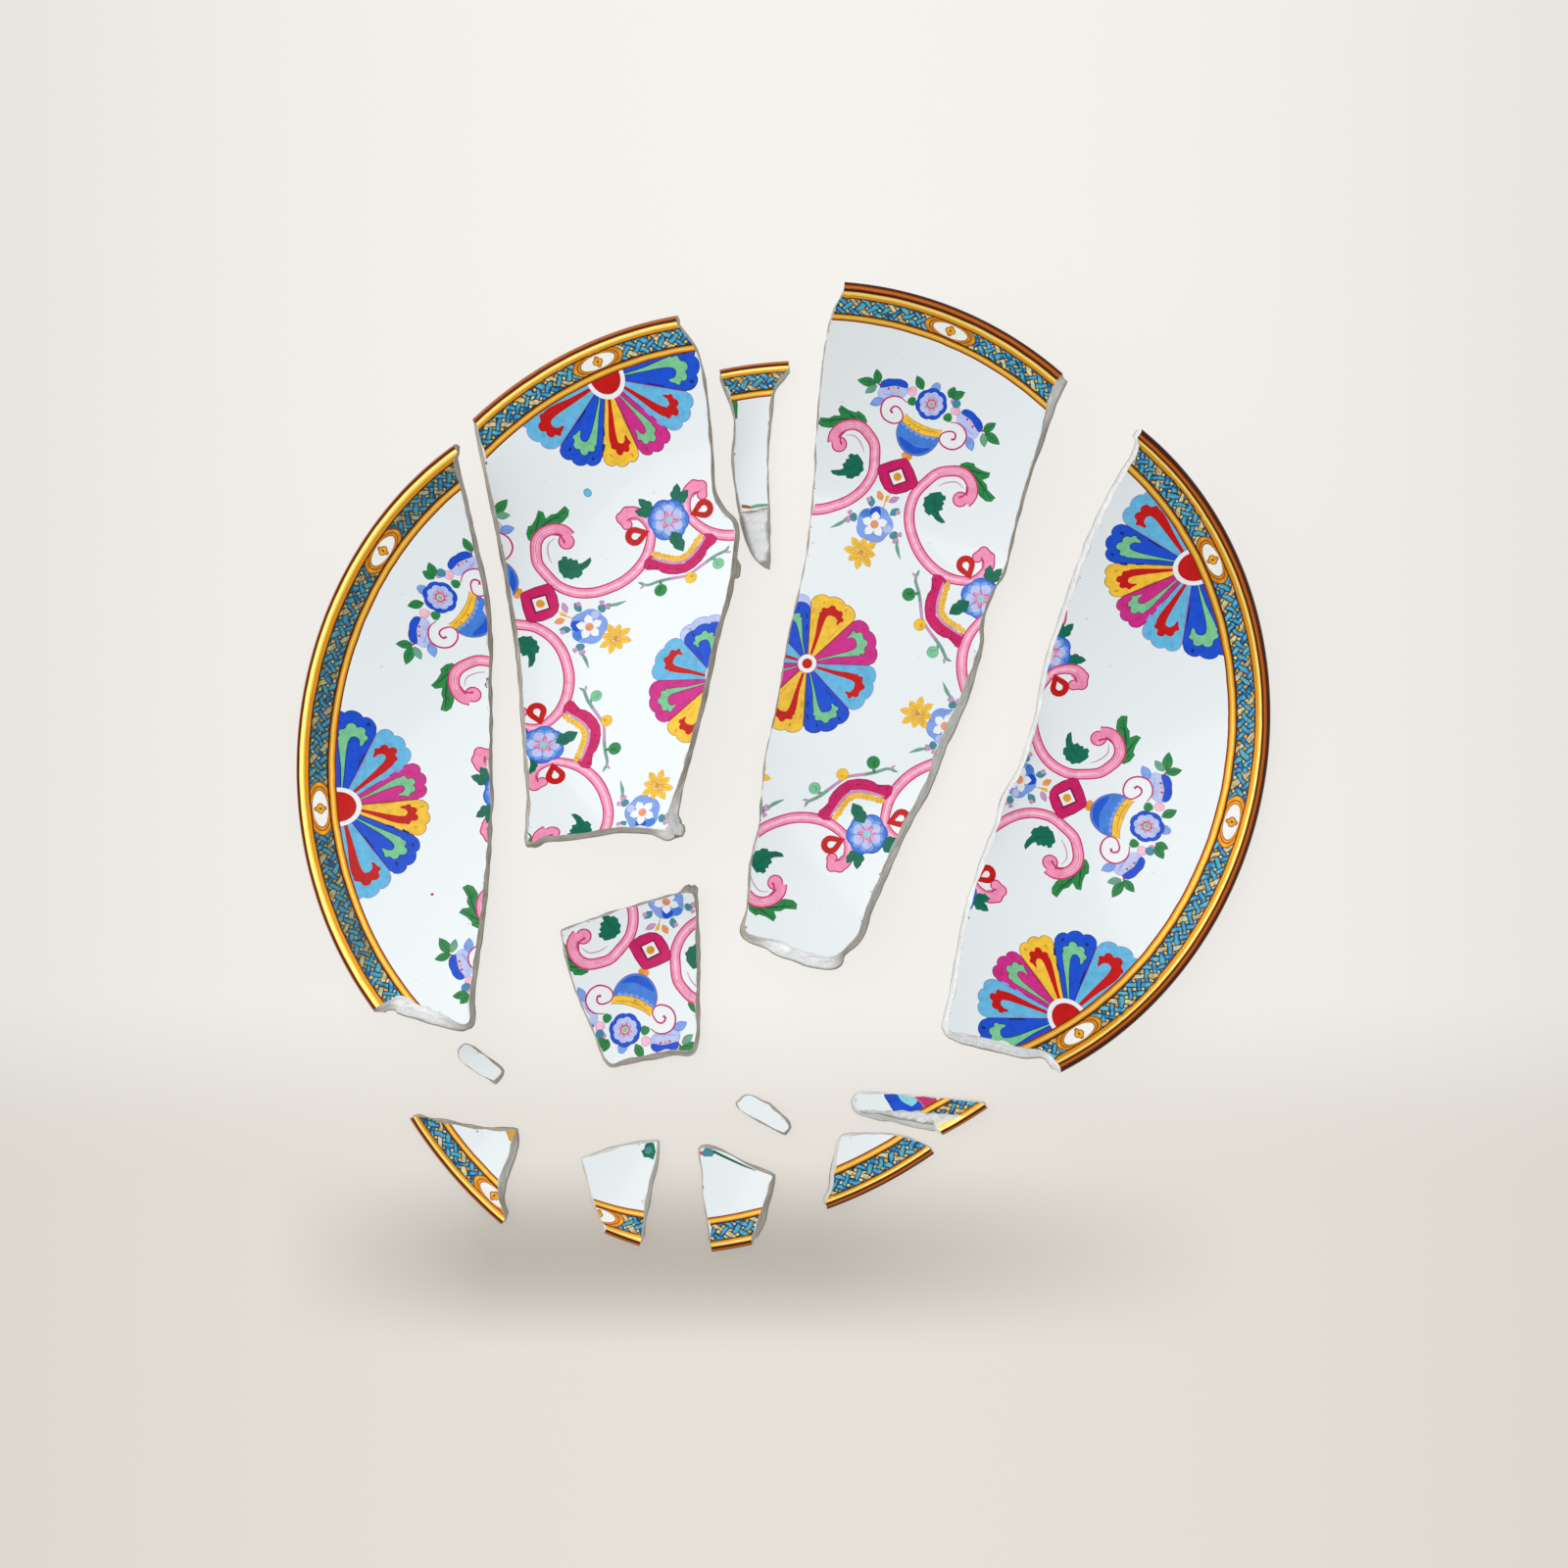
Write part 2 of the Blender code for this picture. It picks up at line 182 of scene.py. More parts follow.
# ---- The plate as the potter turned it
# A deep round plate of white porcelain on a low foot ring, 240 mm across. Lengths are in
# millimetres, in the plate's own plane, with z up from the bottom of its foot.
RIM_R, WELL_R, WELL_Z, RISE, CURVE = 120.0, 52.0, 8.5, 36.0, 1.35
WALL, FOOT_IN, FOOT_OUT, FOOT_DRAFT = 4.2, 42.6, 47.0, 1.0


def upper(r):
    return WELL_Z + RISE * (np.clip(r - WELL_R, 0, None) / (RIM_R - WELL_R)) ** CURVE


def slope(r):
    return RISE * CURVE / (RIM_R - WELL_R) * (np.clip(r - WELL_R, 0, None) / (RIM_R - WELL_R)) ** (CURVE - 1)


def under(r, thick):
    base = upper(r) - thick * np.sqrt(1 + slope(r) ** 2)
    if thick < WALL:
        return base
    return base * np.clip(np.maximum(FOOT_IN - r, r - FOOT_OUT) / FOOT_DRAFT, 0, 1)


# ---- Drawing in enamel
# The decoration is overglaze enamel laid in flat shapes: a brush line with a width, a disc with a
# lobed edge, a leaf. Every shape is a closed outline with a colour, and later ones cover earlier ones.
INK = {name: srgb(*swatch) for name, swatch in dict(red=(196, 8, 6), royal=(16, 78, 210), navy=(12, 36, 110),
    sky=(100, 186, 228), aqua=(140, 215, 225), pink=(206, 40, 138), plum=(160, 12, 88), yellow=(246, 198, 58),
    honey=(222, 155, 40), brown=(150, 92, 30), mint=(122, 200, 150), pine=(0, 108, 84), leaf=(40, 135, 68),
    moss=(18, 92, 60), sage=(110, 165, 140), rose=(246, 148, 186), blush=(252, 192, 214), crimson=(200, 44, 104),
    magenta=(204, 18, 100), cobalt=(66, 128, 220), azure=(26, 88, 208), peri=(128, 162, 232), lilac=(190, 200, 242),
    white=(238, 243, 246), salmon=(240, 155, 90), teal=(70, 140, 155), violet=(156, 118, 194), mauve=(205, 150, 190),
    wine=(130, 8, 60)).items()}


def through(run, step, closed=False):
    """A smooth line through a run of points, sampled about every step."""
    p = np.array(run, float)
    if len(p) == 2:
        n = max(1, round(float(np.hypot(*(p[1] - p[0])[:2])) / step))
        return [p[0] + (p[1] - p[0]) * k / n for k in range(n)] + [p[1]]
    ends = np.vstack([p[-1:], p, p[:2]] if closed else [2 * p[0] - p[1], p, 2 * p[-1] - p[-2]])
    line = []
    for a, b, c, d in zip(ends, ends[1:], ends[2:], ends[3:]):
        n = max(1, round(float(np.hypot(*(c - b)[:2])) / step))
        for t in np.arange(n) / n:
            line.append(0.5 * (2 * b + (c - a) * t + (2 * a - 5 * b + 4 * c - d) * t * t
                               + (3 * b - a - 3 * c + d) * t ** 3))
    return line if closed else line + [p[-1]]


def unit(way):
    return way / np.maximum(np.hypot(*way.T), 1e-9)[:, None]


def grown(p, by):
    """A closed outline moved outwards a little all round."""
    way = unit(np.roll(p, -1, 0) - np.roll(p, 1, 0))
    q = np.roll(p, -1, 0)
    anticlockwise = np.sum(p[:, 0] * q[:, 1] - q[:, 0] * p[:, 1]) > 0
    return p + np.c_[way[:, 1], -way[:, 0]] * (by if anticlockwise else -by)


def flat(ink, p, edge=None, wide=0.2):
    """A flat of colour inside an outline, over a fine line of its own where it has an edge."""
    return ([(edge, grown(p, wide))] if edge else []) + [(ink, p)]


def patch(ink, run, edge=None, wide=0.2, sharp=False):
    """A flat of colour inside a run of points."""
    return flat(ink, np.array(run if sharp else through(run, 0.9, True), float), edge, wide)


def stroke(ink, run, more=0.0, step=0.9, thin=1.0):
    """A brush line through (x, y, half width) points, as a row of short shapes."""
    line = np.array(through(run, step))
    way = unit(np.gradient(line[:, :2], axis=0))
    side = np.c_[-way[:, 1], way[:, 0]] * (line[:, 2:3] * thin + more)
    a, b = line[:, :2] + side, line[:, :2] - side
    return [(ink, np.array([a[k], b[k], b[k + 1], a[k + 1]])) for k in range(len(line) - 1)]


def disc(ink, x, y, r, lobes=0, deep=0.0, turn=0.0, n=16, edge=None, wide=0.2):
    """A round flat of colour, with its edge drawn in between lobes where it has them."""
    n = max(n, 5 * lobes)
    t = np.arange(n) * 2 * math.pi / n
    rad = r * (1 - deep * (1 - np.abs(np.cos(lobes * (t - turn) / 2)) ** 0.7)) if lobes else np.full(n, r)
    return flat(ink, np.c_[x + rad * np.cos(t), y + rad * np.sin(t)], edge, wide)


def blade(ink, root, tip, half, teeth=0, edge=None, fat=0.45, vein=None):
    """A leaf from its root to its tip, with a toothed edge where it has teeth."""
    root, tip = np.array(root, float), np.array(tip, float)
    way = tip - root
    size = float(np.hypot(*way))
    way /= size
    t = np.linspace(0, 1, 7 + 3 * teeth)
    wide = np.where(t < fat, np.sin(t / fat * math.pi / 2), np.cos((t - fat) / (1 - fat) * math.pi / 2)) * half
    if teeth:
        wide = wide * (0.78 + 0.3 * np.abs(np.sin(teeth * math.pi * t)))
    line, side = root + way * (t * size)[:, None], np.array([-way[1], way[0]]) * wide[:, None]
    shapes = flat(ink, np.vstack([line - side, (line + side)[::-1][1:-1]]), edge, 0.18)
    if vein:
        shapes += stroke(vein, [(*(root + way * size * at), thick) for at, thick in ((0.1, 0.13), (0.8, 0.08))])
    return shapes


def leaf(root, tip, half):
    return blade("leaf", root, tip, half, edge="moss", vein="moss")


def both(shapes):
    """The shapes, and the same again on the other side of the axis."""
    return shapes + [(ink, p * (1, -1)) for ink, p in shapes]


PETALS = dict(yellow=("brown", "honey"), pink=("wine", "magenta"), royal=("navy", "navy"), sky=("violet", "peri"),
              violet=("wine", "mauve"), lilac=("peri", "peri"))     # the outline and the shading of each


def fan(cx, start, stop, reach, hub, ink, way, spread):
    """One petal of a palmette, from its hub out, with a hooked tongue in it."""
    edge, shade = PETALS[ink]
    hook = "red" if ink in ("yellow", "sky") else "mint"
    a0, a1 = math.radians(start), math.radians(stop)
    t = np.linspace(0, 1, 25)
    phi = a0 + (a1 - a0) * t
    rad = np.array([reach(p) for p in phi])
    rad = rad * (0.89 + 0.11 * np.sin(math.pi * t) ** 0.45) * (0.968 + 0.034 * np.abs(np.sin(3 * math.pi * t)) ** 0.7)
    foot = [(hub * math.cos(a), hub * math.sin(a)) for a in (a1, a0)]
    rim = np.vstack([np.c_[rad * np.cos(phi), rad * np.sin(phi)], foot]) + (cx, 0)
    shapes = [(edge, rim), (ink, grown(rim, -0.2))]
    mid = (a0 + a1) / 2
    size = reach(mid)
    along = np.array([math.cos(mid), math.sin(mid)]) * size
    aside = np.array([-along[1], along[0]]) * (-way if hook == "red" else way) * min(1.0, (a1 - a0) / 0.5)

    def at(s, w):
        return np.array([cx, 0]) + along * s + aside * w

    # the brush runs darker down both sides of a petal and in a few dashes near its end
    for s0, s1, w0, w1, h in ((0.42, 0.58, 0.1, 0.14, 0.006), (0.5, 0.58, -0.13, -0.16, 0.01),
                              (0.66, 0.74, -0.19, -0.2, 0.012), (0.86, 0.9, 0.13, 0.14, 0.014),
                              (0.84, 0.88, -0.13, -0.12, 0.012)):
        shapes += stroke(shade, [(*at(s, w * (spread + 1) / 2), h * size) for s, w in ((s0, w0), (s1, w1))], 0, 1.5)
    if ink == "lilac":
        return shapes
    wide = (0.018, 0.03, 0.043, 0.052) if hook == "red" else (0.005, 0.016, 0.03, 0.046)
    tongue = [*zip((hub / size + 0.03, 0.41, 0.56, 0.68), (-0.005, -0.03, -0.052, -0.062), wide),
              (0.755, -0.045, 0.056), (0.785, 0, 0.056), (0.785, 0.05, 0.052), (0.755, 0.085, 0.042),
              (0.705, 0.102, 0.026), (0.65, 0.094, 0.01)]
    knobs = [(0.7, -0.088, 0.026), (0.765, -0.078, 0.036), (0.825, -0.01, 0.05), (0.8, 0.075, 0.046),
             (0.735, 0.118, 0.03)]
    stout = 0.92 if spread == 1 else 1.0
    outline = [] if hook == "red" else [("navy" if ink == "royal" else "wine", 0.22)]
    for colour, more in outline + [(hook, 0.0)]:
        shapes += stroke(colour, [(*at(s, w * spread), h * size * stout) for s, w, h in tongue], more, 1.1)
        for s, w, h in knobs:
            shapes += disc(colour, *at(s, w * spread), h * size * stout + more, n=10)
    return shapes


# ---- The centre rosette
# Eight fans of colour round a red boss in the middle of the well, 45 mm across.
def spun(shapes, degrees, mirror=False):
    a = math.radians(degrees)
    m = np.array([[math.cos(a), math.sin(a)], [-math.sin(a), math.cos(a)]])
    return [(ink, (p * (1, -1) if mirror else p) @ m) for ink, p in shapes]


drawing = []
for k, ink in enumerate(("pink", "yellow", "royal", "sky") * 2):
    if k == 2:      # this blue petal is short, over a lilac one
        drawing += fan(0, 67.5, 112.5, lambda a: 23.0, 2.6, "lilac", 1, 1.45)
    drawing += fan(0, 45 * k - 22.5, 45 * k + 22.5, lambda a: 20.4 if k == 2 else 23.0, 2.6, ink, 1, 1.45)
drawing += disc("white", 0, 0, 2.95, n=20, edge="crimson") + disc("red", 0, 0, 1.65)

# ---- The four half rosettes under the border
# The same fans spread from a red boss on the inner gold line, in a white ring.
BAND_WIDE = 12.6            # from the inner gold line to the lip
BOSS = RIM_R - BAND_WIDE
half_rosette = []
for start, ink in ((150, "yellow"), (180, "pink"), (210, "sky"), (240, "royal"), (120, "royal"), (90, "sky"),
                   (66, "violet")):
    half_rosette += fan(BOSS, start, start + (24 if ink == "violet" else 30),
                        lambda a: 1 / math.hypot(math.cos(a) / 25.5, math.sin(a) / 32), 5.2, ink, -1, 1.0)
half_rosette += disc("white", BOSS, 0, 6.3, n=32) + disc("red", BOSS, 0, 4.9, n=28)

# ---- The rococo scrolls
# Pairs of pink C scrolls spring from a magenta tile on each diagonal, curl over at the top under a
# green acanthus leaf, and end in a lobed bud beside the next flower. A dark leaf fills each one, and
# a red drop with a white eye hangs by its foot.
BAND = [(66.7, 23.4, 1.5), (69.3, 24.2, 1.4), (72, 23.2, 1.35), (74.3, 20.5, 1.35), (74.8, 17.3, 1.35),
        (73.6, 14.2, 1.3), (71.4, 11.1, 1.3), (67.3, 9, 1.3), (63, 7.6, 1.3), (58.2, 8, 1.3), (53.9, 9.8, 1.3),
        (50.1, 12.8, 1.3), (46.2, 17.5, 1.35), (43.8, 22.8, 1.35), (43, 28, 1.3), (43.8, 32.9, 1.15),
        (45.4, 36.5, 1.1), (48.5, 38.5, 1.25), (51.4, 39, 1.45), (53.8, 37.8, 1.55), (54.4, 35.6, 1.5),
        (52.8, 34.6, 1.2)]
scroll = patch("leaf", [(75.6, 16.5), (77.1, 16.7), (78.3, 18.1), (78.8, 20.4), (78, 21.1), (77.8, 23.7), (78.2, 26.3),
                        (76.9, 26.4), (75.3, 24.9), (74.4, 26.8), (73, 27.9), (71.8, 31.2), (70.4, 30.6), (69.9, 29),
                        (70.6, 26.5), (72, 24.7), (74.2, 23.4), (75.1, 20.4)], "moss", sharp=True)
for vein in ([(75.8, 17.5, 0.2), (76.6, 21, 0.3), (77.4, 25.6, 0.12)],
             [(76.2, 20.4, 0.15), (74.4, 24.4, 0.3), (71.2, 29.8, 0.12)],
             [(77, 18.4, 0.1), (77.6, 20, 0.2)], [(73.4, 26.4, 0.2), (71.4, 27.4, 0.12)]):
    scroll += stroke("moss", vein)
for ink, more in (("crimson", 0.44), ("rose", 0.0)):
    for x, y, r in ((67, 21.4, 2.1), (52.7, 34.5, 1.4), (54.9, 35.6, 1.5), (54.2, 38, 1.4)):
        scroll += disc(ink, x, y, r + more)
    scroll += stroke(ink, BAND, more)
scroll += stroke("blush", BAND[2:19], 0, 0.9, 0.36) + stroke("crimson", BAND[2:7], 0, 0.9, 0.07)
scroll += stroke("crimson", [(71.4, 21.4, 0.16), (69.8, 22.1, 0.24), (68.3, 21.7, 0.28), (67.3, 20.7, 0.36)])
scroll += stroke("crimson", [(50.6, 37, 0.14), (52.4, 36.4, 0.2), (53.2, 35.6, 0.28)])
scroll += stroke("mauve", [(68, 13.2, 0.12), (70, 15.1, 0.2), (71.4, 18.1, 0.2), (70.5, 20.8, 0.1)])
filling = [(66.3, 13.4), (67, 14.7), (66.2, 15.8), (66.4, 16.8), (65.4, 17.4), (64.5, 16.6), (63.8, 17.6),
           (62.8, 17.2), (61.7, 18), (60.6, 16.9), (59.4, 17.9), (57.8, 21), (57.3, 19.9), (57.5, 17.7), (58.7, 15.3),
           (58, 14.5), (58.6, 12.6), (59.6, 12.3), (60.4, 11), (61.8, 11), (62.8, 10.3), (64, 11.3), (65, 11.5)]
small = [(62.4 + (x - 62.4) * 0.88, 14.6 + (y - 14.6) * 0.88) for x, y in filling]
scroll += patch("pine", small, "moss", sharp=True)
scroll += stroke("moss", [(65.4, 13.6, 0.12), (61.6, 14.8, 0.22), (58.4, 18.2, 0.12)])


def drop(ink, x, y, r, tx, ty):
    """A drop, round at one end and drawn out to a tip at the other."""
    a = math.atan2(ty - y, tx - x)
    t = np.linspace(a + 0.9, a + math.tau - 0.9, 13)
    return [(ink, np.vstack([[(tx, ty)], np.c_[x + r * np.cos(t), y + r * np.sin(t)]]))]


scroll += drop("red", 49, 32.1, 3.0, 45.4, 35.6) + drop("white", 48.9, 32.2, 1.05, 47.4, 33.6)


def folded(half):
    """An outline from one half of it, the other half being its mirror image."""
    return half + [(x, -y) for x, y in half[::-1] if y]


tile = patch("magenta", folded([(71.6, 0.3), (69, 3.8), (66.2, 6.7), (65, 6.7), (62.2, 4.5), (60.3, 2), (59.8, 0)]),
             "wine", 0.25, sharp=True)
tile += patch("wine", [(68.8, 0), (65.3, 3.7), (61.8, 0), (65.3, -3.7)], sharp=True)
tile += patch("white", [(68, 0), (65.2, 2.9), (62.5, 0), (65.2, -2.9)], sharp=True)
tile += disc("honey", 65.3, 0, 1.15, edge="salmon")

# ---- The urns of flowers
# On each diagonal a blue urn with a yellow lip and two white volutes holds three blue flowers.
urn = disc("salmon", 72.4, 1, 1.0) + disc("honey", 72.5, -0.6, 1.0)
urn += patch("cobalt", [(82, -6.7), (80.8, -6.9), (78.4, -6.6), (76, -5.4), (74.2, -3.5), (73.4, -1.2), (73.4, 1.2),
                        (74.4, 3.6), (76.2, 5.5), (78.4, 6.7), (80.9, 7), (82.2, 6.8), (81.4, 3), (81.2, 0),
                        (81.3, -3)], "plum", 0.16)
urn += patch("azure", [(77.6, -5.6), (75.4, -4), (74, -1.4), (74, 1.4), (75.2, 3.8), (77, 5.2), (76.6, 1.6),
                       (76.2, -1.2), (76.9, -3.6)])
urn += [s for y in (-4.8, -3, -1.3, 0.5, 2.3, 4, 5.6) for s in disc("peri", 80.3 + 0.035 * y * y, y, 0.85, n=8)]
urn += patch("yellow", [(85, 8.2), (83.9, 5.6), (83.3, 2.9), (83.2, 0), (83.3, -2.9), (83.9, -5.6), (85, -8.2),
                        (83.6, -7.4), (82.2, -6.8), (81.2, -4.4), (80.6, -1.4), (80.6, 1.4), (81.2, 4.4), (82.2, 6.8),
                        (83.6, 7.4)], "brown", 0.14)
urn += stroke("honey", [(83, -5.4, 0.16), (82, 0, 0.2), (82.9, 5.4, 0.16)]) + disc("brown", 81.2, 0.4, 0.3, n=6)
urn += disc("brown", 81.6, 3.8, 0.28, n=6)
bouquet = patch("lilac", [(89.2, 9.2), (91.9, 9.5), (91.2, 13.3), (89.3, 16.2), (88.1, 17.4), (86, 17), (85.6, 14.5),
                          (87.4, 11.5)], "peri", 0.15)
bouquet += patch("royal", [(91.9, 9.5), (93.2, 10.4), (93.3, 12.8), (92.6, 14.4), (91.9, 16.2), (90.2, 17.8),
                           (88.5, 17.5), (89.5, 15.7), (91, 13.3), (91.4, 11.2)], "navy", 0.14)
bouquet += disc("crimson", 90.6, 12.2, 0.42, n=8) + disc("salmon", 90, 13.6, 0.42, n=8)
bouquet += disc("crimson", 89.2, 14.8, 0.4, n=8)
bouquet += stroke("peri", [(88.6, 10.4, 0.1), (87.6, 13.6, 0.16), (87, 16, 0.1)])
bouquet += blade("peri", (85.6, 14.9), (82.3, 18), 1.3, edge="cobalt")
bouquet += stroke("plum", [(89, 17.4, 0.3), (89.6, 19.6, 0.14)])
bouquet += leaf((89.3, 18.4), (93.1, 21), 1.25) + leaf((89.2, 19), (87.6, 25), 1.35)
bouquet += blade("sage", (88.6, 18.7), (85, 21), 1.05, edge="leaf")
bouquet += disc("blush", 91.5, 7.6, 1.4, 3, 0.15, edge="mauve") + disc("leaf", 88.6, 6.3, 1.35, 3, 0.2, edge="sage")
bouquet = both(bouquet)
curl = [(87.6, 7.7, 0.14), (88.2, 9.9, 0.2), (87.7, 12.3, 0.24), (85.6, 14.4, 0.26), (82.4, 14.3, 0.28),
        (80.1, 12.1, 0.28), (79.9, 8.9, 0.26), (81.3, 6.9, 0.24), (83.4, 6.9, 0.24), (85.1, 9.1, 0.26),
        (84.9, 10.8, 0.3), (83.3, 11.3, 0.36), (82.8, 10.3, 0.42)]
bouquet += both(disc("white", 84, 10.6, 4.1, n=24) + stroke("crimson", curl))
bouquet += disc("peri", 95.6, 1.2, 1.7, 3, 0.2) + disc("mauve", 93.8, -5.6, 0.9)
bouquet += disc("teal", 93.6, -6.9, 1.2, edge="cobalt")
for root, tip in (((93.3, 4.8), (96.4, 8.4)), ((94.4, -4), (98.1, -4.1)), ((94.6, -4.7), (97.9, -7.7))):
    bouquet += leaf(root, tip, 1.3)
for ink, *shape in (("royal", 5.0, 7, 0.08, 0.3, 42, "navy", 0.12), ("lilac", 3.9, 8, 0.16, 0.1, 40),
                    ("mauve", 2.3, 8, 0.45, 0.1, 40), ("crimson", 1.5, 6, 0.25, 0, 30), ("blush", 1.1, 0, 0, 0, 10),
                    ("mint", 0.8, 0, 0, 0, 10)):
    bouquet += disc(ink, 90.3, 0.3, *shape)

# ---- The posies inside the ring
# Under each tile a blue flower with a white star hangs from orange buds, over a yellow daisy.
def ray(x, a, near, far):
    """Two points on a line out from a flower's middle."""
    return (x + near * math.cos(a), near * math.sin(a)), (x + far * math.cos(a), far * math.sin(a))


posy = blade("salmon", (56.6, 1.2), (58.8, 3.6), 0.9, edge="honey") + blade("yellow", (56, 0), (59.6, -0.3), 0.5)
posy += blade("mauve", (57, -1), (59.6, -3.4), 0.8, edge="violet")
posy += stroke("honey", [(54, -0.4, 0.14), (58.6, 0.4, 0.2)])
posy += both(blade("teal", (53.2, 3.2), (56.6, 5), 1.2) + disc("mauve", 55.2, 5.2, 0.8, n=8))
posy += both(disc("teal", 48, 7.2, 1.5, 3, 0.2) + disc("mauve", 46.6, 8.6, 1.2, 3, 0.3)
             + disc("mauve", 49, 8.8, 0.9, 3, 0.3) + stroke("sage", [(46.6, 8.8, 0.3), (44.4, 10.2, 0.6),
    (42, 12.4, 0.12)]))
posy += disc("peri", 48.7, 0, 5.9, 5, 0.14, 0, 35, "cobalt", 0.12) + disc("royal", 52.4, 1.4, 2.0, 3, 0.25)
posy += disc("cobalt", 50.6, 4.2, 1.7, 3, 0.2) + disc("lilac", 49, -4.4, 1.3)
for k in range(5):
    posy += blade("white", *ray(48.7, math.tau * k / 5 + 0.3, 0, 4.2), 1.35, fat=0.62)
posy += disc("salmon", 48.7, 0, 1.15, edge="mauve")
for k in range(8):
    far = 5.6 if k % 3 else 4.6
    posy += blade("yellow", *ray(39, math.tau * k / 8 + 0.2, 0.8, far), 1.0, fat=0.6, edge="honey", vein="honey")
posy += disc("honey", 39, 0, 1.0, 6, 0.3) + both(disc("brown", 38.2, 0.7, 0.22, n=6))

# ---- The flowers between the scrolls
# A pale blue flower sits over a magenta arch hung with yellow beads, and a thin sprig runs inside it.
arch = patch("magenta", folded([(43.1, 0), (44, 2.8), (46.4, 6.2), (49.9, 9.4), (49, 11.4), (47, 12.6), (45.9, 11.6),
                                (45.4, 9.8), (44.5, 8.2), (43.2, 7.4), (41.8, 5.6), (40.6, 3), (40, 0)]),
             "plum", 0.16, sharp=True)
arch += both(stroke("mauve", [(49, 9.2, 0.2), (46.6, 5.8, 0.5), (44.6, 2.6, 0.5), (43.9, 0, 0.5)])
             + stroke("plum", [(46.3, 7.6, 0.1), (45.3, 8.8, 0.3), (45.6, 10.6, 0.15)])
             + stroke("crimson", [(41.2, 1.2, 0.1), (42.2, 4, 0.3), (43.6, 6.2, 0.1)]))
arch += disc("wine", 42.2, 2.4, 0.36, n=6) + disc("wine", 46.8, 10.8, 0.42, n=6) + disc("wine", 43.4, -5.4, 0.36, n=6)
for x, y, r in ((49.9, 8, 0.8), (49.2, 6.9, 0.9), (48.2, 5.6, 0.8), (47.2, 4.3, 1.0), (46.5, 3, 0.8), (45.8, 1.8, 0.9),
                (45.4, 0.5, 0.85), (45.5, -0.9, 0.95), (45.9, -2.3, 0.8), (46.6, -3.5, 0.95), (47.6, -4.8, 0.85),
                (48.7, -6.1, 0.95), (49.6, -7.6, 0.8)):
    arch += disc("yellow", x, y, r, n=10, edge="honey", wide=0.16) + disc("salmon", x + 0.1, y - 0.2, 0.24, n=6)
flower = both(blade("pine", (61.8, 3.6), (67.6, 6.6), 1.7, 3, "moss")
              + blade("pine", (62, 4.6), (64.6, 9), 1.4, 2, "moss"))
flower += disc("azure", 58.3, 0, 6.7, 6, 0.12, 0.2, 48) + disc("cobalt", 58.2, 0, 6.3, 6, 0.14, 0.2, 48)
for k in range(6):
    a = math.tau * (k + 0.5) / 6 + 0.2
    flower += blade("peri", *ray(58.3, a, 1.2, 5.9), 2.3, fat=0.66)
    flower += blade("lilac", *ray(58.3, a, 1.4, 4.9), 1.7, fat=0.6)
    flower += disc("cobalt", *ray(58.3, a, 0, 5.4)[1], 0.55, n=8)
    near, far = ray(58.3, a + math.pi / 6, 2.6, 5.6)
    flower += stroke("cobalt", [(*near, 0.1), (*far, 0.22)])
for k in range(9):
    flower += blade("rose", *ray(58.3, math.tau * k / 9, 0, 3.1), 0.42, edge=None if k % 3 else "crimson")
flower += disc("aqua", 58.3, 0, 1.15, edge="mauve")
arch += flower + blade("pine", (54.6, 0.4), (47.4, -1), 2.1, 2, "moss", vein="moss")
stem = [(41.9, 14.7, 0.3), (40.8, 12.7, 0.34), (40.6, 9.4, 0.42), (40, 5.7, 0.4), (38.8, 0.5, 0.34),
        (39.3, -2.6, 0.36), (40.6, -7, 0.42), (41.5, -10.2, 0.42), (41.8, -14.1, 0.4)]
arch += stroke("violet", stem, 0.12) + stroke("mauve", stem) + stroke("sage", stem[:4]) + stroke("sage", stem[-3:])
arch += both(blade("sage", (41.2, 13.6), (43.2, 15.8), 0.5) + blade("mauve", (41.4, 13.6), (40.6, 15.8), 0.45))
arch += stroke("leaf", [(40.7, 8.6, 0.3), (39.6, 8.8, 0.5), (38.4, 9.2, 0.6)])
arch += disc("leaf", 37.4, 9.4, 2.0, edge="sage")
arch += stroke("moss", [(38.8, 9.3, 0.2), (37.4, 9.6, 0.24), (37, 10.4, 0.12)])
arch += stroke("sage", [(41, -8.4, 0.3), (40.5, -9.8, 0.5), (39.6, -10.8, 0.6)])
arch += disc("mint", 38.5, -10.7, 1.75, edge="sage")
arch += stroke("sage", [(39.6, -10.4, 0.2), (38.2, -10.2, 0.24), (37.8, -11, 0.12)])
arch += disc("yellow", 37.5, -1, 1.8, edge="honey") + disc("honey", 37.9, -1.4, 0.5, n=8)

for quarter in range(4):
    for mirror in (False, True):
        drawing += spun(scroll, 90 * quarter + 45, mirror)
    drawing += spun(arch, 90 * quarter) + spun(tile + posy + urn + bouquet, 90 * quarter + 45)


# ---- Glaze, gold and enamel
# Clear glaze over white porcelain. The border is worked out from the plate's own plan: a gilt lip,
# a trellis of blue ribbons between gold bands, and a white oval every eighth of the way round.
def told(name, out=2):
    """What the mesh tells the finish at each point."""
    return Field.node("ShaderNodeAttribute", {"attribute_name": name}, out=out)


def cloud(size, detail=2.0, rough=0.5, where=None):
    return Field.node("ShaderNodeTexNoise", Vector=where or plan, Scale=1 / size, Detail=detail, Roughness=rough)


painted, shader = finish_of("painted_glaze")
plan, enamel, laid, ring, nicked = told("plan", 1), told("enamel", 0), told("laid"), told("ring"), told("nicked")
px, py, _ = plan.parts()
radius = ring + (cloud(6.0, 1.0) - 0.5) * 0.3
angle = py.sum("ARCTAN2", px)
BORDER = 112.4      # the middle of the border
across = radius - BORDER
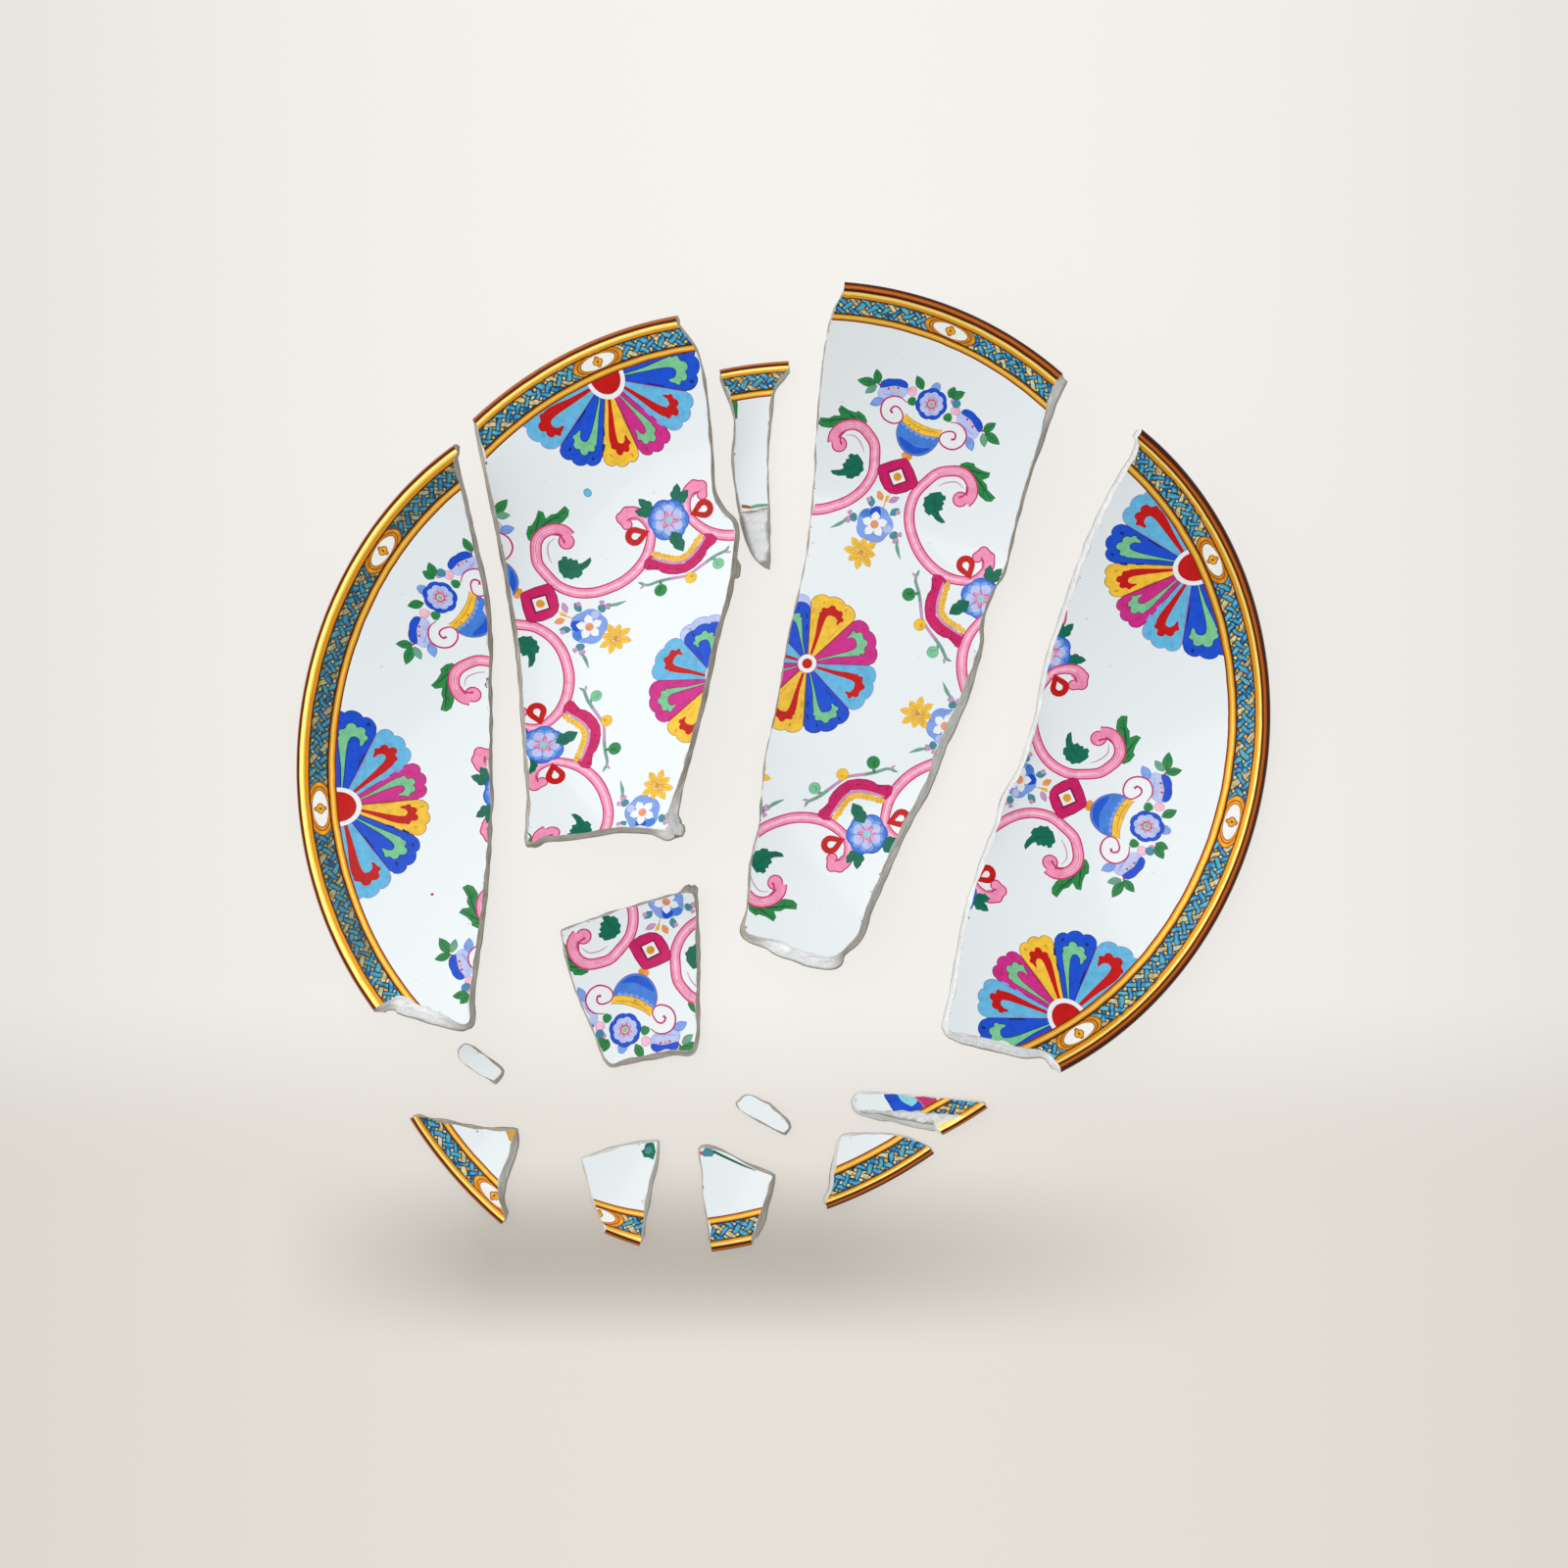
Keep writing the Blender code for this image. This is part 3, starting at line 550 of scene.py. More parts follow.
# the trellis: two sets of ribbons woven over and under, each with a dark line down both sides
round_ = angle * (176 / math.tau) + (cloud(3.0, 1.0) - 0.5) * 0.5
rise = across / 3.4 + (cloud(2.0, 1.0) - 0.5) * 0.35
u, v = round_ + rise, round_ - rise
off_u, off_v = abs(u.sum("FRACT") - 0.5), abs(v.sum("FRACT") - 0.5)
over = (u.sum("FLOOR") + v.sum("FLOOR")).sum("PINGPONG", 1.0).above(0.5, 0.1)
shade = cloud(2.2, 1.0)
deep_blue = shade.ramp((0.3, 10, 78, 150), (0.48, 24, 124, 186), (0.64, 84, 176, 196))
pale_blue = shade.ramp((0.34, 110, 190, 200), (0.5, 30, 130, 185), (0.68, 16, 84, 140))
straw = cloud(1.4, 0.0).ramp((0.35, 206, 150, 62), (0.5, 232, 192, 92), (0.65, 236, 220, 165))
dark = (14, 40, 50)
# every third ribbon that leans back is straw
plaited = (v / 3).sum("FRACT").above(0.66, 0.01).tint(pale_blue, straw)
trellis = straw
for off, blue, mask in ((off_v, plaited, 1.0), (off_u, deep_blue, 1.0), (off_v, plaited, over)):
    trellis = ((1 - off.above(0.35, 0.02)) * mask).tint(trellis, dark)
    trellis = ((1 - off.above(0.235, 0.02)) * mask).tint(trellis, blue)
    shine = (1 - off.above(0.1, 0.06)) * shade.between(0.36, 0.6, 0.08) * mask * 0.55
    trellis = shine.tint(trellis, (120, 200, 220))
# the trellis is duller on the left of the plate
trellis = (abs(angle).above(1.97, 0.03) * py.above(-54, 4) * 0.45).tint(trellis, (44, 64, 58))
# the ovals: a white eye with a gold quatrefoil, in a gold collar
beside = ((angle + math.pi / 8).sum("FLOORED_MODULO", math.pi / 4) - math.pi / 8) * BORDER


def oval(wide, tall):
    x, y = beside / wide, across / tall
    return (x * x + y * y).sum("SQRT")


line = (104, 42, 8)
gold = across.sum("ABSOLUTE").ramp((0.0, 246, 178, 40), (1.0, 226, 142, 26))
collar = oval(8.9, 3.6)
border = collar.above(1.0, 0.02).tint(line, trellis)
border = collar.above(0.955, 0.02).tint(gold, border)
border = oval(7.1, 2.75).between(0.965, 1.035, 0.02).tint(border, (150, 75, 15))
eye = oval(6.1, 2.15)
border = eye.above(1.03, 0.03).tint((140, 70, 16), border)
border = eye.above(0.96, 0.03).tint((246, 246, 243), border)
heart = (beside * beside + across * across).sum("SQRT")
petals = heart - abs((across.sum("ARCTAN2", beside) * 2).sum("COSINE")) * 0.5
border = petals.above(1.25, 0.06).tint(line, border)
border = petals.above(1.0, 0.06).tint(gold, border)
border = heart.above(0.35, 0.08).tint(line, border)
# the bands, from the inner gold line out over the lip: gold between dark lines, then on the rounded lip a painted
# highlight and beyond it a painted dark reflection, dark brown with a reddish streak
BANDS = [(107.5, 130, 50, 8), (107.85, 120, 44, 8), (108.0, 216, 128, 22), (108.5, 246, 186, 52),
         (108.8, 255, 226, 116), (109.15, 242, 172, 40), (109.5, 206, 116, 18), (109.62, 84, 28, 4),
         (110.05, 40, 24, 14), (114.75, 40, 24, 14), (115.15, 92, 34, 6), (115.25, 220, 136, 22),
         (115.85, 242, 166, 34), (116.0, 196, 112, 18), (116.2, 250, 190, 56), (116.8, 255, 234, 128),
         (117.55, 255, 236, 136), (117.8, 236, 164, 44), (118.05, 120, 54, 8), (118.2, 66, 16, 2), (118.75, 72, 18, 2),
         (119.1, 160, 80, 18), (119.5, 204, 112, 34), (119.95, 180, 88, 20), (120.3, 84, 28, 4), (121.2, 60, 16, 2),
         (122.4, 46, 14, 2)]
bands = ((radius - 107) / 16).ramp(*[((at - 107) / 16, *swatch) for at, *swatch in BANDS])
GOLD_LINE, TRELLIS_IN, TRELLIS_OUT, LIP_END = 107.52, 110.05, 114.8, 122.5
on_border = radius.above(GOLD_LINE, 0.05)
in_trellis = radius.between(TRELLIS_IN, TRELLIS_OUT, 0.05)
under_lip = ring.above(LIP_END, 0.1)
banded = under_lip.tint(in_trellis.tint(on_border.tint(enamel, bands), border), (234, 240, 243))
gilt = on_border * (1 - in_trellis) + in_trellis * (1 - collar.above(0.955, 0.02)) * eye.above(0.96, 0.03)
gilt = gilt * (1 - under_lip) * (1 - radius.above(118.1, 0.3) * 0.5)
# the brush: enamel pools darker and paler along its strokes, while the white ground stays even
pool = {"stops": [(at, (grey, grey, grey)) for at, grey in ((0.32, 0.72), (0.5, 0.98), (0.7, 1.15))]}
pooled = Field.node("ShaderNodeMix", {"data_type": "RGBA", "blend_type": "MULTIPLY"}, out=2,
                    i0=laid * (1 - on_border) * 0.6 + on_border * 0.15, i6=banded,
                    i7=Field.node("ShaderNodeValToRGB", pool, Fac=cloud(2.4, 3.0, 0.6)))
# crumbs of brown dirt held in the broken edge of the glaze, and a few pinholes in its face
dirt = nicked.above(0.75, 0.15) * cloud(2.4, 3.0, 0.6).above(0.655, 0.03)
pinhole = cloud(1.1, 0.0).above(0.88, 0.01) * (1 - on_border)
colour = (dirt + pinhole * 0.3).tint(pooled, (96, 62, 34))
relief = laid * 0.5 + on_border * 0.6 + cloud(14.0, 1.0) * 0.9
# the clear glaze is a coat, thinner over the enamels and the gold
put(shader, Base_Color=colour, Metallic=gilt * 0.35, Roughness=0.3 + dirt * 0.5, Specular_IOR_Level=0.12,
    Coat_Weight=0.85 - laid * (1 - on_border) * 0.62 - on_border * 0.77, Coat_Roughness=0.1, Coat_IOR=1.5,
    Normal=bump(0.35, 0.00008, relief))

# ---- The underside
# Plain white glaze, wiped off the foot where the plate stood in the kiln.
plain, shader = finish_of("plain_glaze")
plan = told("plan", 1)
wiped = 1 - plan.parts()[2].above(0.35, 0.15)
specks = cloud(1.2, 2.0).above(0.74, 0.02)
glaze = wiped.tint((230, 236, 240), (206, 198, 184))
put(shader, Base_Color=specks.tint(glaze, (150, 135, 115)), Roughness=0.12 + wiped * 0.6, IOR=1.5,
    Normal=bump(0.3, 0.00008, cloud(14.0, 1.0)))

# ---- The broken body
# Fine grey-white porcelain, dull and sugary, torn in long steps that run with the faces of the plate.
# Its tones are painted darker than the porcelain as painted shade, darkest along the lower edge of a break.
# It is glassy where a flake left a shell-like hollow, and painted pale and glassy, as painted light, on the
# shards whose breaks face the light. It has a bright thread of glaze along the top face and holds a little
# brown dirt.
broken, shader = finish_of("broken_porcelain")
plan, deep, shelly = told("plan", 1), told("deep"), told("shelly")
lx, ly, _ = plan.parts()
drawn = Field.node("ShaderNodeCombineXYZ", X=lx * 0.16, Y=ly * 0.16, Z=deep * 5.0)
streak = cloud(1.0, 3.0, 0.6, drawn)
grain = cloud(0.7, 4.0, 0.65)
blotch = cloud(5.0, 3.0, 0.6)
# the body's tones run darker than the porcelain itself: painted shade for breaks turned from the light
body = streak.ramp((0.3, 142, 134, 120), (0.45, 170, 163, 151), (0.6, 194, 188, 177), (0.75, 218, 213, 204))
glassy = streak.ramp((0.32, 222, 225, 225), (0.46, 246, 249, 250), (0.6, 253, 254, 255))
glassy = (deep.above(0.5, 0.08) * 0.75).tint(glassy, (230, 233, 234))
body = shelly.tint(body, glassy)
body = (blotch.above(0.6, 0.05) * grain.above(0.5, 0.06) * 0.5 * (1 - shelly * 0.7)).tint(body, (140, 116, 90))
dirt = deep.between(0.05, 0.2, 0.04) * streak.above(0.56, 0.03) * blotch.above(0.48, 0.05) * 0.8
body = (dirt * (1 - shelly)).tint(body, (92, 70, 50))
# painted shade: a darker band along the lower edge of every break, less on the pale glassy ones
body = (deep.above(0.87, 0.04) * (0.8 - shelly * 0.45)).tint(body, (126, 116, 102))
# a flake taken out of the painted face has a dark rim of its own
flaked_rim = told("nicked").above(0.62, 0.25) * deep.above(0.3, 0.1)
body = (flaked_rim * 0.75).tint(body, (104, 92, 78))
thread = 1 - deep.above(0.045, 0.02)
body = thread.tint(body, (238, 241, 242))
put(shader, Base_Color=body, Roughness=0.66 - shelly * 0.3 - thread * 0.25,
    Normal=bump(0.8, 0.0003, grain * 0.7 + streak * 1.4 + cloud(2.4, 3.0, 0.6) * shelly * 4.0))


# ---- The four long shards
# Each is the plate between two breaks, cut from the same turned form and laid as it came to rest:
# turned by its heading, leant until it balanced, and set down at its place. Three keep a long piece
# of the rim, and two keep part of the foot ring. A break is a run of points, some with a third number
# for the ledge from there on, which is how far the torn face shows past the glaze. The painter worked by
# eye, so the pattern wanders off true (slip), and the border is wider or narrower (squeeze). The painted
# highlight and painted dark reflection on the gilt lip start further in on some shards than on others,
# as each lip lies to the light.
SHARDS = {
    "left_rim_shard": dict(
        heading=7, lean=30, toward=170.5, at=(-33.2, 0.2), rim=(113.5, 214.5), squeeze=1.03,
        slip=(-2, 0.3, 0, -0.025, 0.02, 0.01),
        edge=[[(-94, -65, 3), (-91, -64, 5), (-87, -66), (-78, -71, 4), (-70, -75, 2)],
              [(-70, -67, 1.3), (-70, -56, 1.5), (-69, -43), (-68, -29), (-65, -4, 1), (-64, 9), (-60, 34),
               (-57.5, 46, 1.3), (-54.5, 63, 1.5), (-53, 77, 1.3), (-51, 91, 1), (-49, 104)]]),
    "upper_left_shard": dict(
        heading=21, lean=25, toward=115.5, at=(-14.4, 20.5), rim=(75.5, 112), squeeze=1.08, lip_reflection_shift=0.8,
        slip=(-2.7, 7.4, 0.034, 0.044, -0.023, -0.03),
        edge=[[(-46, 100, 1.3), (-49, 87, 1.5), (-52, 74), (-55, 61), (-60, 40), (-66, 18, 1.3), (-69, 5),
               (-72, -9), (-76, -23)],
              [(-71, -23, 2), (-62, -25), (-49, -27), (-40, -31), (-34, -34, 4)],
              [(-33, -30, 4), (-25, -20, 2), (-18, -10, 1.6), (-9, 4), (-2, 16), (5, 27), (11, 36), (16, 47),
               (19, 54), (17, 60), (17, 67, 1.3), (22, 78, 0.8), (27, 90), (31, 103)]]),
    "centre_shard": dict(
        heading=22.5, lean=0, toward=0, at=(10.5, 36.3), rim=(26.3, 63.2), lip_reflection_shift=1.0,
        slip=(-3.8, -1.4, 0.025, 0.057, -0.036, 0),
        edge=[[(46, 98, 0.4), (41, 91), (30, 71), (23, 56), (13, 37), (7, 27), (-3, 13), (-9, 4), (-17, -9),
               (-28, -25), (-37, -42), (-45, -54, 0.6), (-51, -66, 1), (-55, -74, 2)],
              [(-48, -79, 4.5), (-42, -85), (-37, -89), (-32, -92, 4)],
              [(-28, -91, 2), (-22, -88, 2.2), (-16, -81, 2.4), (-10, -75, 2.6), (-5, -70), (4, -62, 2.5),
               (16, -52, 2.8), (24, -43, 3), (37, -31), (49, -18, 1.6), (53, -11, 1), (60, -3), (66, 2), (74, 13),
               (85, 27, 1.2), (93, 37, 2), (100, 47, 3.5)]]),
    "right_rim_shard": dict(
        heading=29, lean=27.5, toward=-43, at=(31.6, 14.6), rim=(-96, 25.5), squeeze=0.98, lip_reflection_shift=2.1, pale=1.0,
        slip=(0.6, -2.6, 0, 0.112, -0.083, -0.025),
        edge=[[(104, 45, 1), (96, 36, 1.3), (87, 26, 1.5), (79, 16), (66, 0), (59, -8), (47, -24), (41, -30),
               (33, -37), (24, -42), (17, -49), (9, -55), (-7, -67), (-15, -74), (-25, -82), (-35, -89)],
              [(-36, -91, 2), (-30, -96, 3.5), (-19, -106), (-13, -111, 2.5)]]),
}
SHIFT = (0.216, 0.368)    # moves the middle of the spread to the origin
GRID = 2.6                  # spacing of the surface between the painted shapes


def set_out(piece):
    """The whole decoration as it falls on one shard."""
    tx, ty, a, b, c, d = piece["slip"]
    inner = [(ink, p @ np.array([[1 + a, c], [b, 1 + d]]) + (tx, ty)) for ink, p in drawing]
    out = BAND_WIDE - BAND_WIDE / piece.get("squeeze", 1)
    outer = [(ink, p + (out, 0)) for ink, p in half_rosette]
    return inner + [s for quarter in range(4) for s in spun(outer, 90 * quarter)]


def lay(piece):
    """The turn that lays a shard as it came to rest."""
    a, b, h = (math.radians(piece[k]) for k in ("toward", "lean", "heading"))
    k = np.array([-math.sin(a), math.cos(a), 0.0])
    cross = np.array([[0, -k[2], k[1]], [k[2], 0, -k[0]], [-k[1], k[0], 0]])
    tip = np.eye(3) + math.sin(b) * cross + (1 - math.cos(b)) * cross @ cross
    return np.array([[math.cos(h), -math.sin(h), 0], [math.sin(h), math.cos(h), 0], [0, 0, 1]]) @ tip


def spalled(xy, piece):
    """How deep a flake of glaze has gone at each point."""
    z = np.zeros(len(xy))
    for (ax, ay), (dx, dy), reach, deep in piece.get("spall", []):
        far = ((xy[:, 0] - ax) * dx + (xy[:, 1] - ay) * dy) / math.hypot(dx, dy)
        z = z + deep * np.sin(np.clip(far / reach, 0, 1) * math.pi / 2)
    return z


def lip_of(thick):
    """The rounded lip: half the thickness, the lip's middle, its slope, and where its face and underside start."""
    half = thick / 2
    lip_r = RIM_R - half
    s = float(slope(lip_r))
    lip = half / math.hypot(1, s)
    return half, lip_r, s, lip_r - lip * s, lip_r + lip * s


def held(run):
    """The points of a break, where each keeps the ledge of the one before unless it gives its own."""
    ledge = None
    for x, y, *own in run:
        ledge = own[0] if own else ledge
        yield x, y, ledge


def torn(piece, seed):
    """Anticlockwise: the edge of the glaze, the torn line, the underside's edge, what is lip, the way out, and
    how shell-like the break is."""
    dice = np.random.default_rng(seed)
    step = 0.9 if "rim" in piece else 0.8
    thick = piece.get("thick", WALL)
    *_, start, under_start = lip_of(thick)
    pts, on_lip, first, last = [], [], None, None
    if "rim" in piece:
        a, b = (math.radians(v) for v in piece["rim"])
        for t in np.linspace(a, b, max(3, round((b - a) * RIM_R / 1.6)) + 1):
            pts.append((start * math.cos(t), start * math.sin(t), 0.0))
            on_lip.append(True)
        first, last = pts[-1], pts[0]
    runs = [list(held(run)) for run in piece["edge"]]
    for k, run in enumerate(runs):
        if k + 1 < len(runs):
            run.append(runs[k + 1][0])
        elif last is None:
            run.append(runs[0][0])
    if first is not None:
        runs[0].insert(0, (first[0], first[1], runs[0][0][2]))
        runs[-1].append((last[0], last[1], runs[-1][-1][2]))
    for k, run in enumerate(runs):
        found = through(run, step)
        found = found[1:] if first is not None or k else found
        pts += [tuple(p) for p in found]
        on_lip += [False] * len(found)
    pts, on_lip = np.array(pts[:-1]), np.array(on_lip[:-1])
    keep = on_lip | (np.hypot(*pts[:, :2].T) < start - 0.5)
    pts, on_lip = pts[keep], on_lip[keep]
    xy, ledge = pts[:, :2], pts[:, 2]
    ahead = unit(np.roll(xy, -1, 0) - xy)
    ahead = ahead + np.roll(ahead, 1, 0)
    out = unit(np.c_[ahead[:, 1], -ahead[:, 0]])
    # the torn line wanders a little, with a nibble out of the glaze here and there
    n = len(xy)
    wander = np.convolve(dice.normal(size=n + 6), [0.05, 0.12, 0.2, 0.26, 0.2, 0.12, 0.05], "valid")[:n] * 0.34
    nibble = np.zeros(n)
    for c in dice.integers(0, n, max(2, n // 22)):
        size = dice.uniform(1.2, 3.2)
        away = np.abs((np.arange(n) - c + n // 2) % n - n // 2)
        nibble = np.maximum(nibble, dice.uniform(0.2, 0.8) * np.clip(1 - (away / size) ** 2, 0, 1))
    near_lip = np.convolve(np.r_[on_lip[-3:], on_lip, on_lip[:3]].astype(float), np.ones(7) / 7, "valid")
    loose = (1 - np.clip(near_lip * 3, 0, 1)) * ~on_lip
    sl = slope(np.hypot(*xy.T))
    radial = unit(xy)
    down = np.c_[radial * sl[:, None], -np.ones(n)] / np.sqrt(1 + sl ** 2)[:, None]
    side = np.c_[out, np.sum(out * radial, 1) * sl]
    side /= np.linalg.norm(side, axis=1)[:, None]
    turn = lay(piece)
    way = side @ turn[:2].T
    size = np.maximum(np.hypot(*way.T), 1e-6)
    shows = np.sum((down * thick) @ turn[:2].T * way, 1) / size
    push = np.clip((ledge - shows) / size, -2.5, 7)
    low = xy + (down * thick + side * push[:, None])[:, :2] + out * (np.roll(wander, 5) * loose * 0.8)[:, None]
    low = np.where(on_lip[:, None], radial * under_start, low)
    low_r = np.hypot(*low.T)
    past = ~on_lip & (low_r > under_start)
    low = np.where(past[:, None], low * (under_start / np.maximum(low_r, 1e-6))[:, None], low)
    base = xy + out * (wander * loose)[:, None]
    top = base - out * (nibble * loose)[:, None]
    shell = np.clip((ledge - 1.8) / 2.5, 0, 1)
    return top, base, low, on_lip, out, shell


def inside(loop, p):
    """Which points lie inside a closed outline."""
    x, y = p[:, 0:1], p[:, 1:2]
    x0, y0 = loop[:, 0], loop[:, 1]
    x1, y1 = np.roll(x0, -1), np.roll(y0, -1)
    over = ((y0 > y) != (y1 > y)) & (x < (x1 - x0) * (y - y0) / np.where(y1 == y0, 1e-12, y1 - y0) + x0)
    return over.sum(1) % 2 == 1


def gap_to(loop, p):
    """How far each point is from a closed outline."""
    a, b = loop, np.roll(loop, -1, 0)
    d = b - a
    t = np.clip(np.einsum("pij,ij->pi", p[:, None] - a[None], d) / np.sum(d * d, 1), 0, 1)
    return np.min(np.linalg.norm(p[:, None] - a[None] - t[..., None] * d[None], axis=2), axis=1)


def cover(loop, shapes, step, foot):
    """Triangles that fill the loop and follow every shape's outline, with the last shape over each."""
    rings = [(r, step) for r in np.arange(step / 2, RIM_R, step) if not (foot and FOOT_IN - 1.6 < r < FOOT_OUT + 2)]
    if foot:
        near = [FOOT_IN - d for d in (1.4, 1, 0.6, 0)] + [FOOT_OUT + d for d in (0, 0.6, 1, 1.4)]
        rings += [(r, 1.6) for r in near]
    lo, hi = loop.min(0), loop.max(0)
    grid = []
    for k, (r, gap) in enumerate(rings):
        n = max(6, round(math.tau * r / gap))
        t = (np.arange(n) + 0.5 * (k % 2)) * math.tau / n
        p = np.c_[r * np.cos(t), r * np.sin(t)]
        p = p[np.all((p > lo) & (p < hi), axis=1)]
        if len(p):
            grid.append(p[inside(loop, p) & (gap_to(loop, p) > 0.3 * min(step, gap))])
    n = count = len(loop)
    points, sides, laid = [loop], [], []
    for ink, shape in shapes:
        if np.any(shape.max(0) < lo) or np.any(shape.min(0) > hi):
            continue
        if not (inside(loop, shape).any() or inside(shape, loop).any()):
            continue
        m = len(shape)
        points.append(shape)
        sides += [(count + k, count + (k + 1) % m) for k in range(m)]
        laid.append((ink, shape))
        count += m
    every = [tuple(q) for q in np.vstack(points + grid)]
    made, _, tris, source, _, owners = delaunay_2d_cdt(every, sides, [list(range(n))], 0, 1e-4)
    spots = np.array([(v[0], v[1]) for v in made])
    tris = np.array([t for t, o in zip(tris, owners) if o])
    place = {old: v for v, olds in enumerate(source) for old in olds if old < n}
    # what lies outside the loop is left out, and the rest is numbered afresh
    used, again = np.unique(tris, return_inverse=True)
    tris = again.reshape(tris.shape)
    place = {old: int(np.searchsorted(used, v)) for old, v in place.items()}
    spots = spots[used]
    middle = spots[tris].mean(1)
    top_ink = np.full(len(tris), -1)
    for k, (_, shape) in enumerate(laid):
        near = np.flatnonzero(np.all((middle > shape.min(0)) & (middle < shape.max(0)), axis=1))
        if len(near):
            top_ink[near[inside(shape, middle[near])]] = k
    kept = [(tuple(int(c) for c in t), laid[k][0] if k >= 0 else None) for t, k in zip(tris, top_ink)]
    beside = set()
    for t, _ in kept:
        beside.update(zip(t, t[1:] + t[:1]))
    after = {a: b for a, b in beside if (b, a) not in beside}
    chain = []
    for i in range(n):
        v, goal, path = place[i], place[(i + 1) % n], [place[i]]
        while after[v] != goal:
            v = after[v]
            path.append(v)
            if len(path) > 400:
                raise RuntimeError("the edge of a shard doesn't close")
        chain.append(path)
    return spots, kept, chain


def of_length_one(ways):
    return ways / np.maximum(np.linalg.norm(ways, axis=-1, keepdims=True), 1e-12)


FACE, BACK, BREAK = range(3)        # the three finishes of a shard
BARE = 1.8                          # glaze lost from the underside along a break
LIP_ROUND, REFLECTION_FROM = 6.6, 115.3   # the way round the lip, and where the lip's painted highlight and painted dark reflection start to be moved in


def shard(name, piece, seed, shapes):
    """One loose piece: painted face, plain underside and torn or gilt sides, as one closed skin."""
    thick = piece.get("thick", WALL)
    top, base, low, on_lip, out, shell = torn(piece, seed)
    dice = np.random.default_rng(seed + 100)
    n = len(top)
    flake = []
    for (ax, ay), (dx, dy), reach, _ in piece.get("spall", []):
        way = np.array([dx, dy]) / math.hypot(dx, dy)
        beside = np.array([-way[1], way[0]])
        rag = np.array([(ax, ay) + beside * w + way * dice.uniform(-0.35, 0.35) for w in np.arange(-30, 30.1, 1.2)])
        flake.append(("torn", np.vstack([rag, rag[-1:] + way * 60, rag[:1] + way * 60])))
    tp, tt, chain = cover(top, shapes + flake, GRID if "thick" not in piece else 1.5, False)
    bp, bt, under_chain = cover(low, [], GRID, "thick" not in piece)
    half, lip_r, s, start, _ = lip_of(thick)
    u = np.array([1, s]) / math.hypot(1, s)
    mid = np.array([lip_r, float(upper(lip_r - half * u[1])) - half * u[0]])

    def on_face(xy):
        return np.c_[xy, upper(np.hypot(*xy.T)) - spalled(xy, piece)]

    def on_back(xy):
        return np.c_[xy, under(np.hypot(*xy.T), thick)]

    hi, lo = on_face(base), on_back(low)
    radial = unit(base)
    steps = (0.06, 0.2, 0.38, 0.56, 0.76, 0.94)
    rows = []
    calm = ~on_lip & ~np.roll(on_lip, 1) & ~np.roll(on_lip, -1)
    lump = np.convolve(dice.normal(size=n + 10), np.hanning(11) / 2.2, "valid")[:n] * 0.22
    for f in steps:
        a = math.pi * f
        rough = np.convolve(dice.normal(size=n + 4), [0.12, 0.24, 0.28, 0.24, 0.12], "valid")[:n]
        rough = rough * (0.24 + 0.4 * shell) + lump
        row = hi + (lo - hi) * f + np.c_[out, np.zeros(n)] * (rough * math.sin(a) * calm)[:, None]
        # a shell-like flake is hollow in the middle
        row[:, :2] -= out * (shell * 0.5 * math.sin(a) * calm)[:, None]
        rz = mid + half * (math.cos(a) * np.array([-u[1], u[0]]) + math.sin(a) * u)
        row[on_lip] = np.c_[radial * rz[0], np.full(n, rz[1])][on_lip]
        rows.append(row)
    verts = np.vstack([on_face(tp)] + rows + [on_back(bp)])
    first = len(tp)
    bottom = first + len(rows) * n
    skin = [(t, BREAK if ink == "torn" else FACE, ink) for t, ink in tt]
    # the underside has lost its glaze too, close to a break
    middles = bp[np.array([t for t, _ in bt])].mean(1)
    far = np.hypot(*(middles[:, None] - low[~on_lip][None]).transpose(2, 0, 1)).min(1)
    for (t, _), away in zip(bt, far):
        skin.append((tuple(bottom + v for v in reversed(t)), BREAK if away < BARE else BACK, None))
    sides = len(skin)
    above = chain
    for k in range(len(rows) + 1):
        if k < len(rows):
            beneath = [[first + k * n + i] for i in range(n)]
        else:
            beneath = [[bottom + v for v in path] for path in under_chain]
        for i in range(n):
            j = (i + 1) % n
            up = above[i] + [above[j][0]]
            dn = beneath[i] + [beneath[j][0]]
            slot = FACE if on_lip[i] and on_lip[j] else BREAK
            made = [(up[0], a, b) for a, b in zip(dn, dn[1:])] + [(a, dn[-1], b) for a, b in zip(up, up[1:])]
            skin += [(f, slot, None) for f in made]
        above = beneath
    faces, kind, inks = zip(*skin)
    kind = np.array(kind)
    turn = lay(piece)
    placed = verts @ turn.T
    placed += (piece["at"][0] + SHIFT[0], piece["at"][1] + SHIFT[1], -placed[:, 2].min())
    mesh = bpy.data.meshes.new(name + "_skin")
    mesh.from_pydata((placed * 0.001).tolist(), [], faces)
    for finish in (painted, plain, broken):
        mesh.materials.append(finish)
    mesh.polygons.foreach_set("material_index", kind)
    mesh.polygons.foreach_set("use_smooth", [True] * len(faces))
    # a break meets the glaze at a sharp edge
    edge_of = np.empty(len(faces) * 3, np.int32)
    mesh.loops.foreach_get("edge_index", edge_of)
    least, most = np.full(len(mesh.edges), 9), np.full(len(mesh.edges), -1)
    np.minimum.at(least, edge_of, np.repeat(kind, 3))
    np.maximum.at(most, edge_of, np.repeat(kind, 3))

    def tell(label, values, what="FLOAT", where="POINT", key="value"):
        mesh.attributes.new(label, what, where).data.foreach_set(key, values)

    tell("sharp_edge", (least != most) & (most == BREAK), "BOOLEAN", "EDGE")
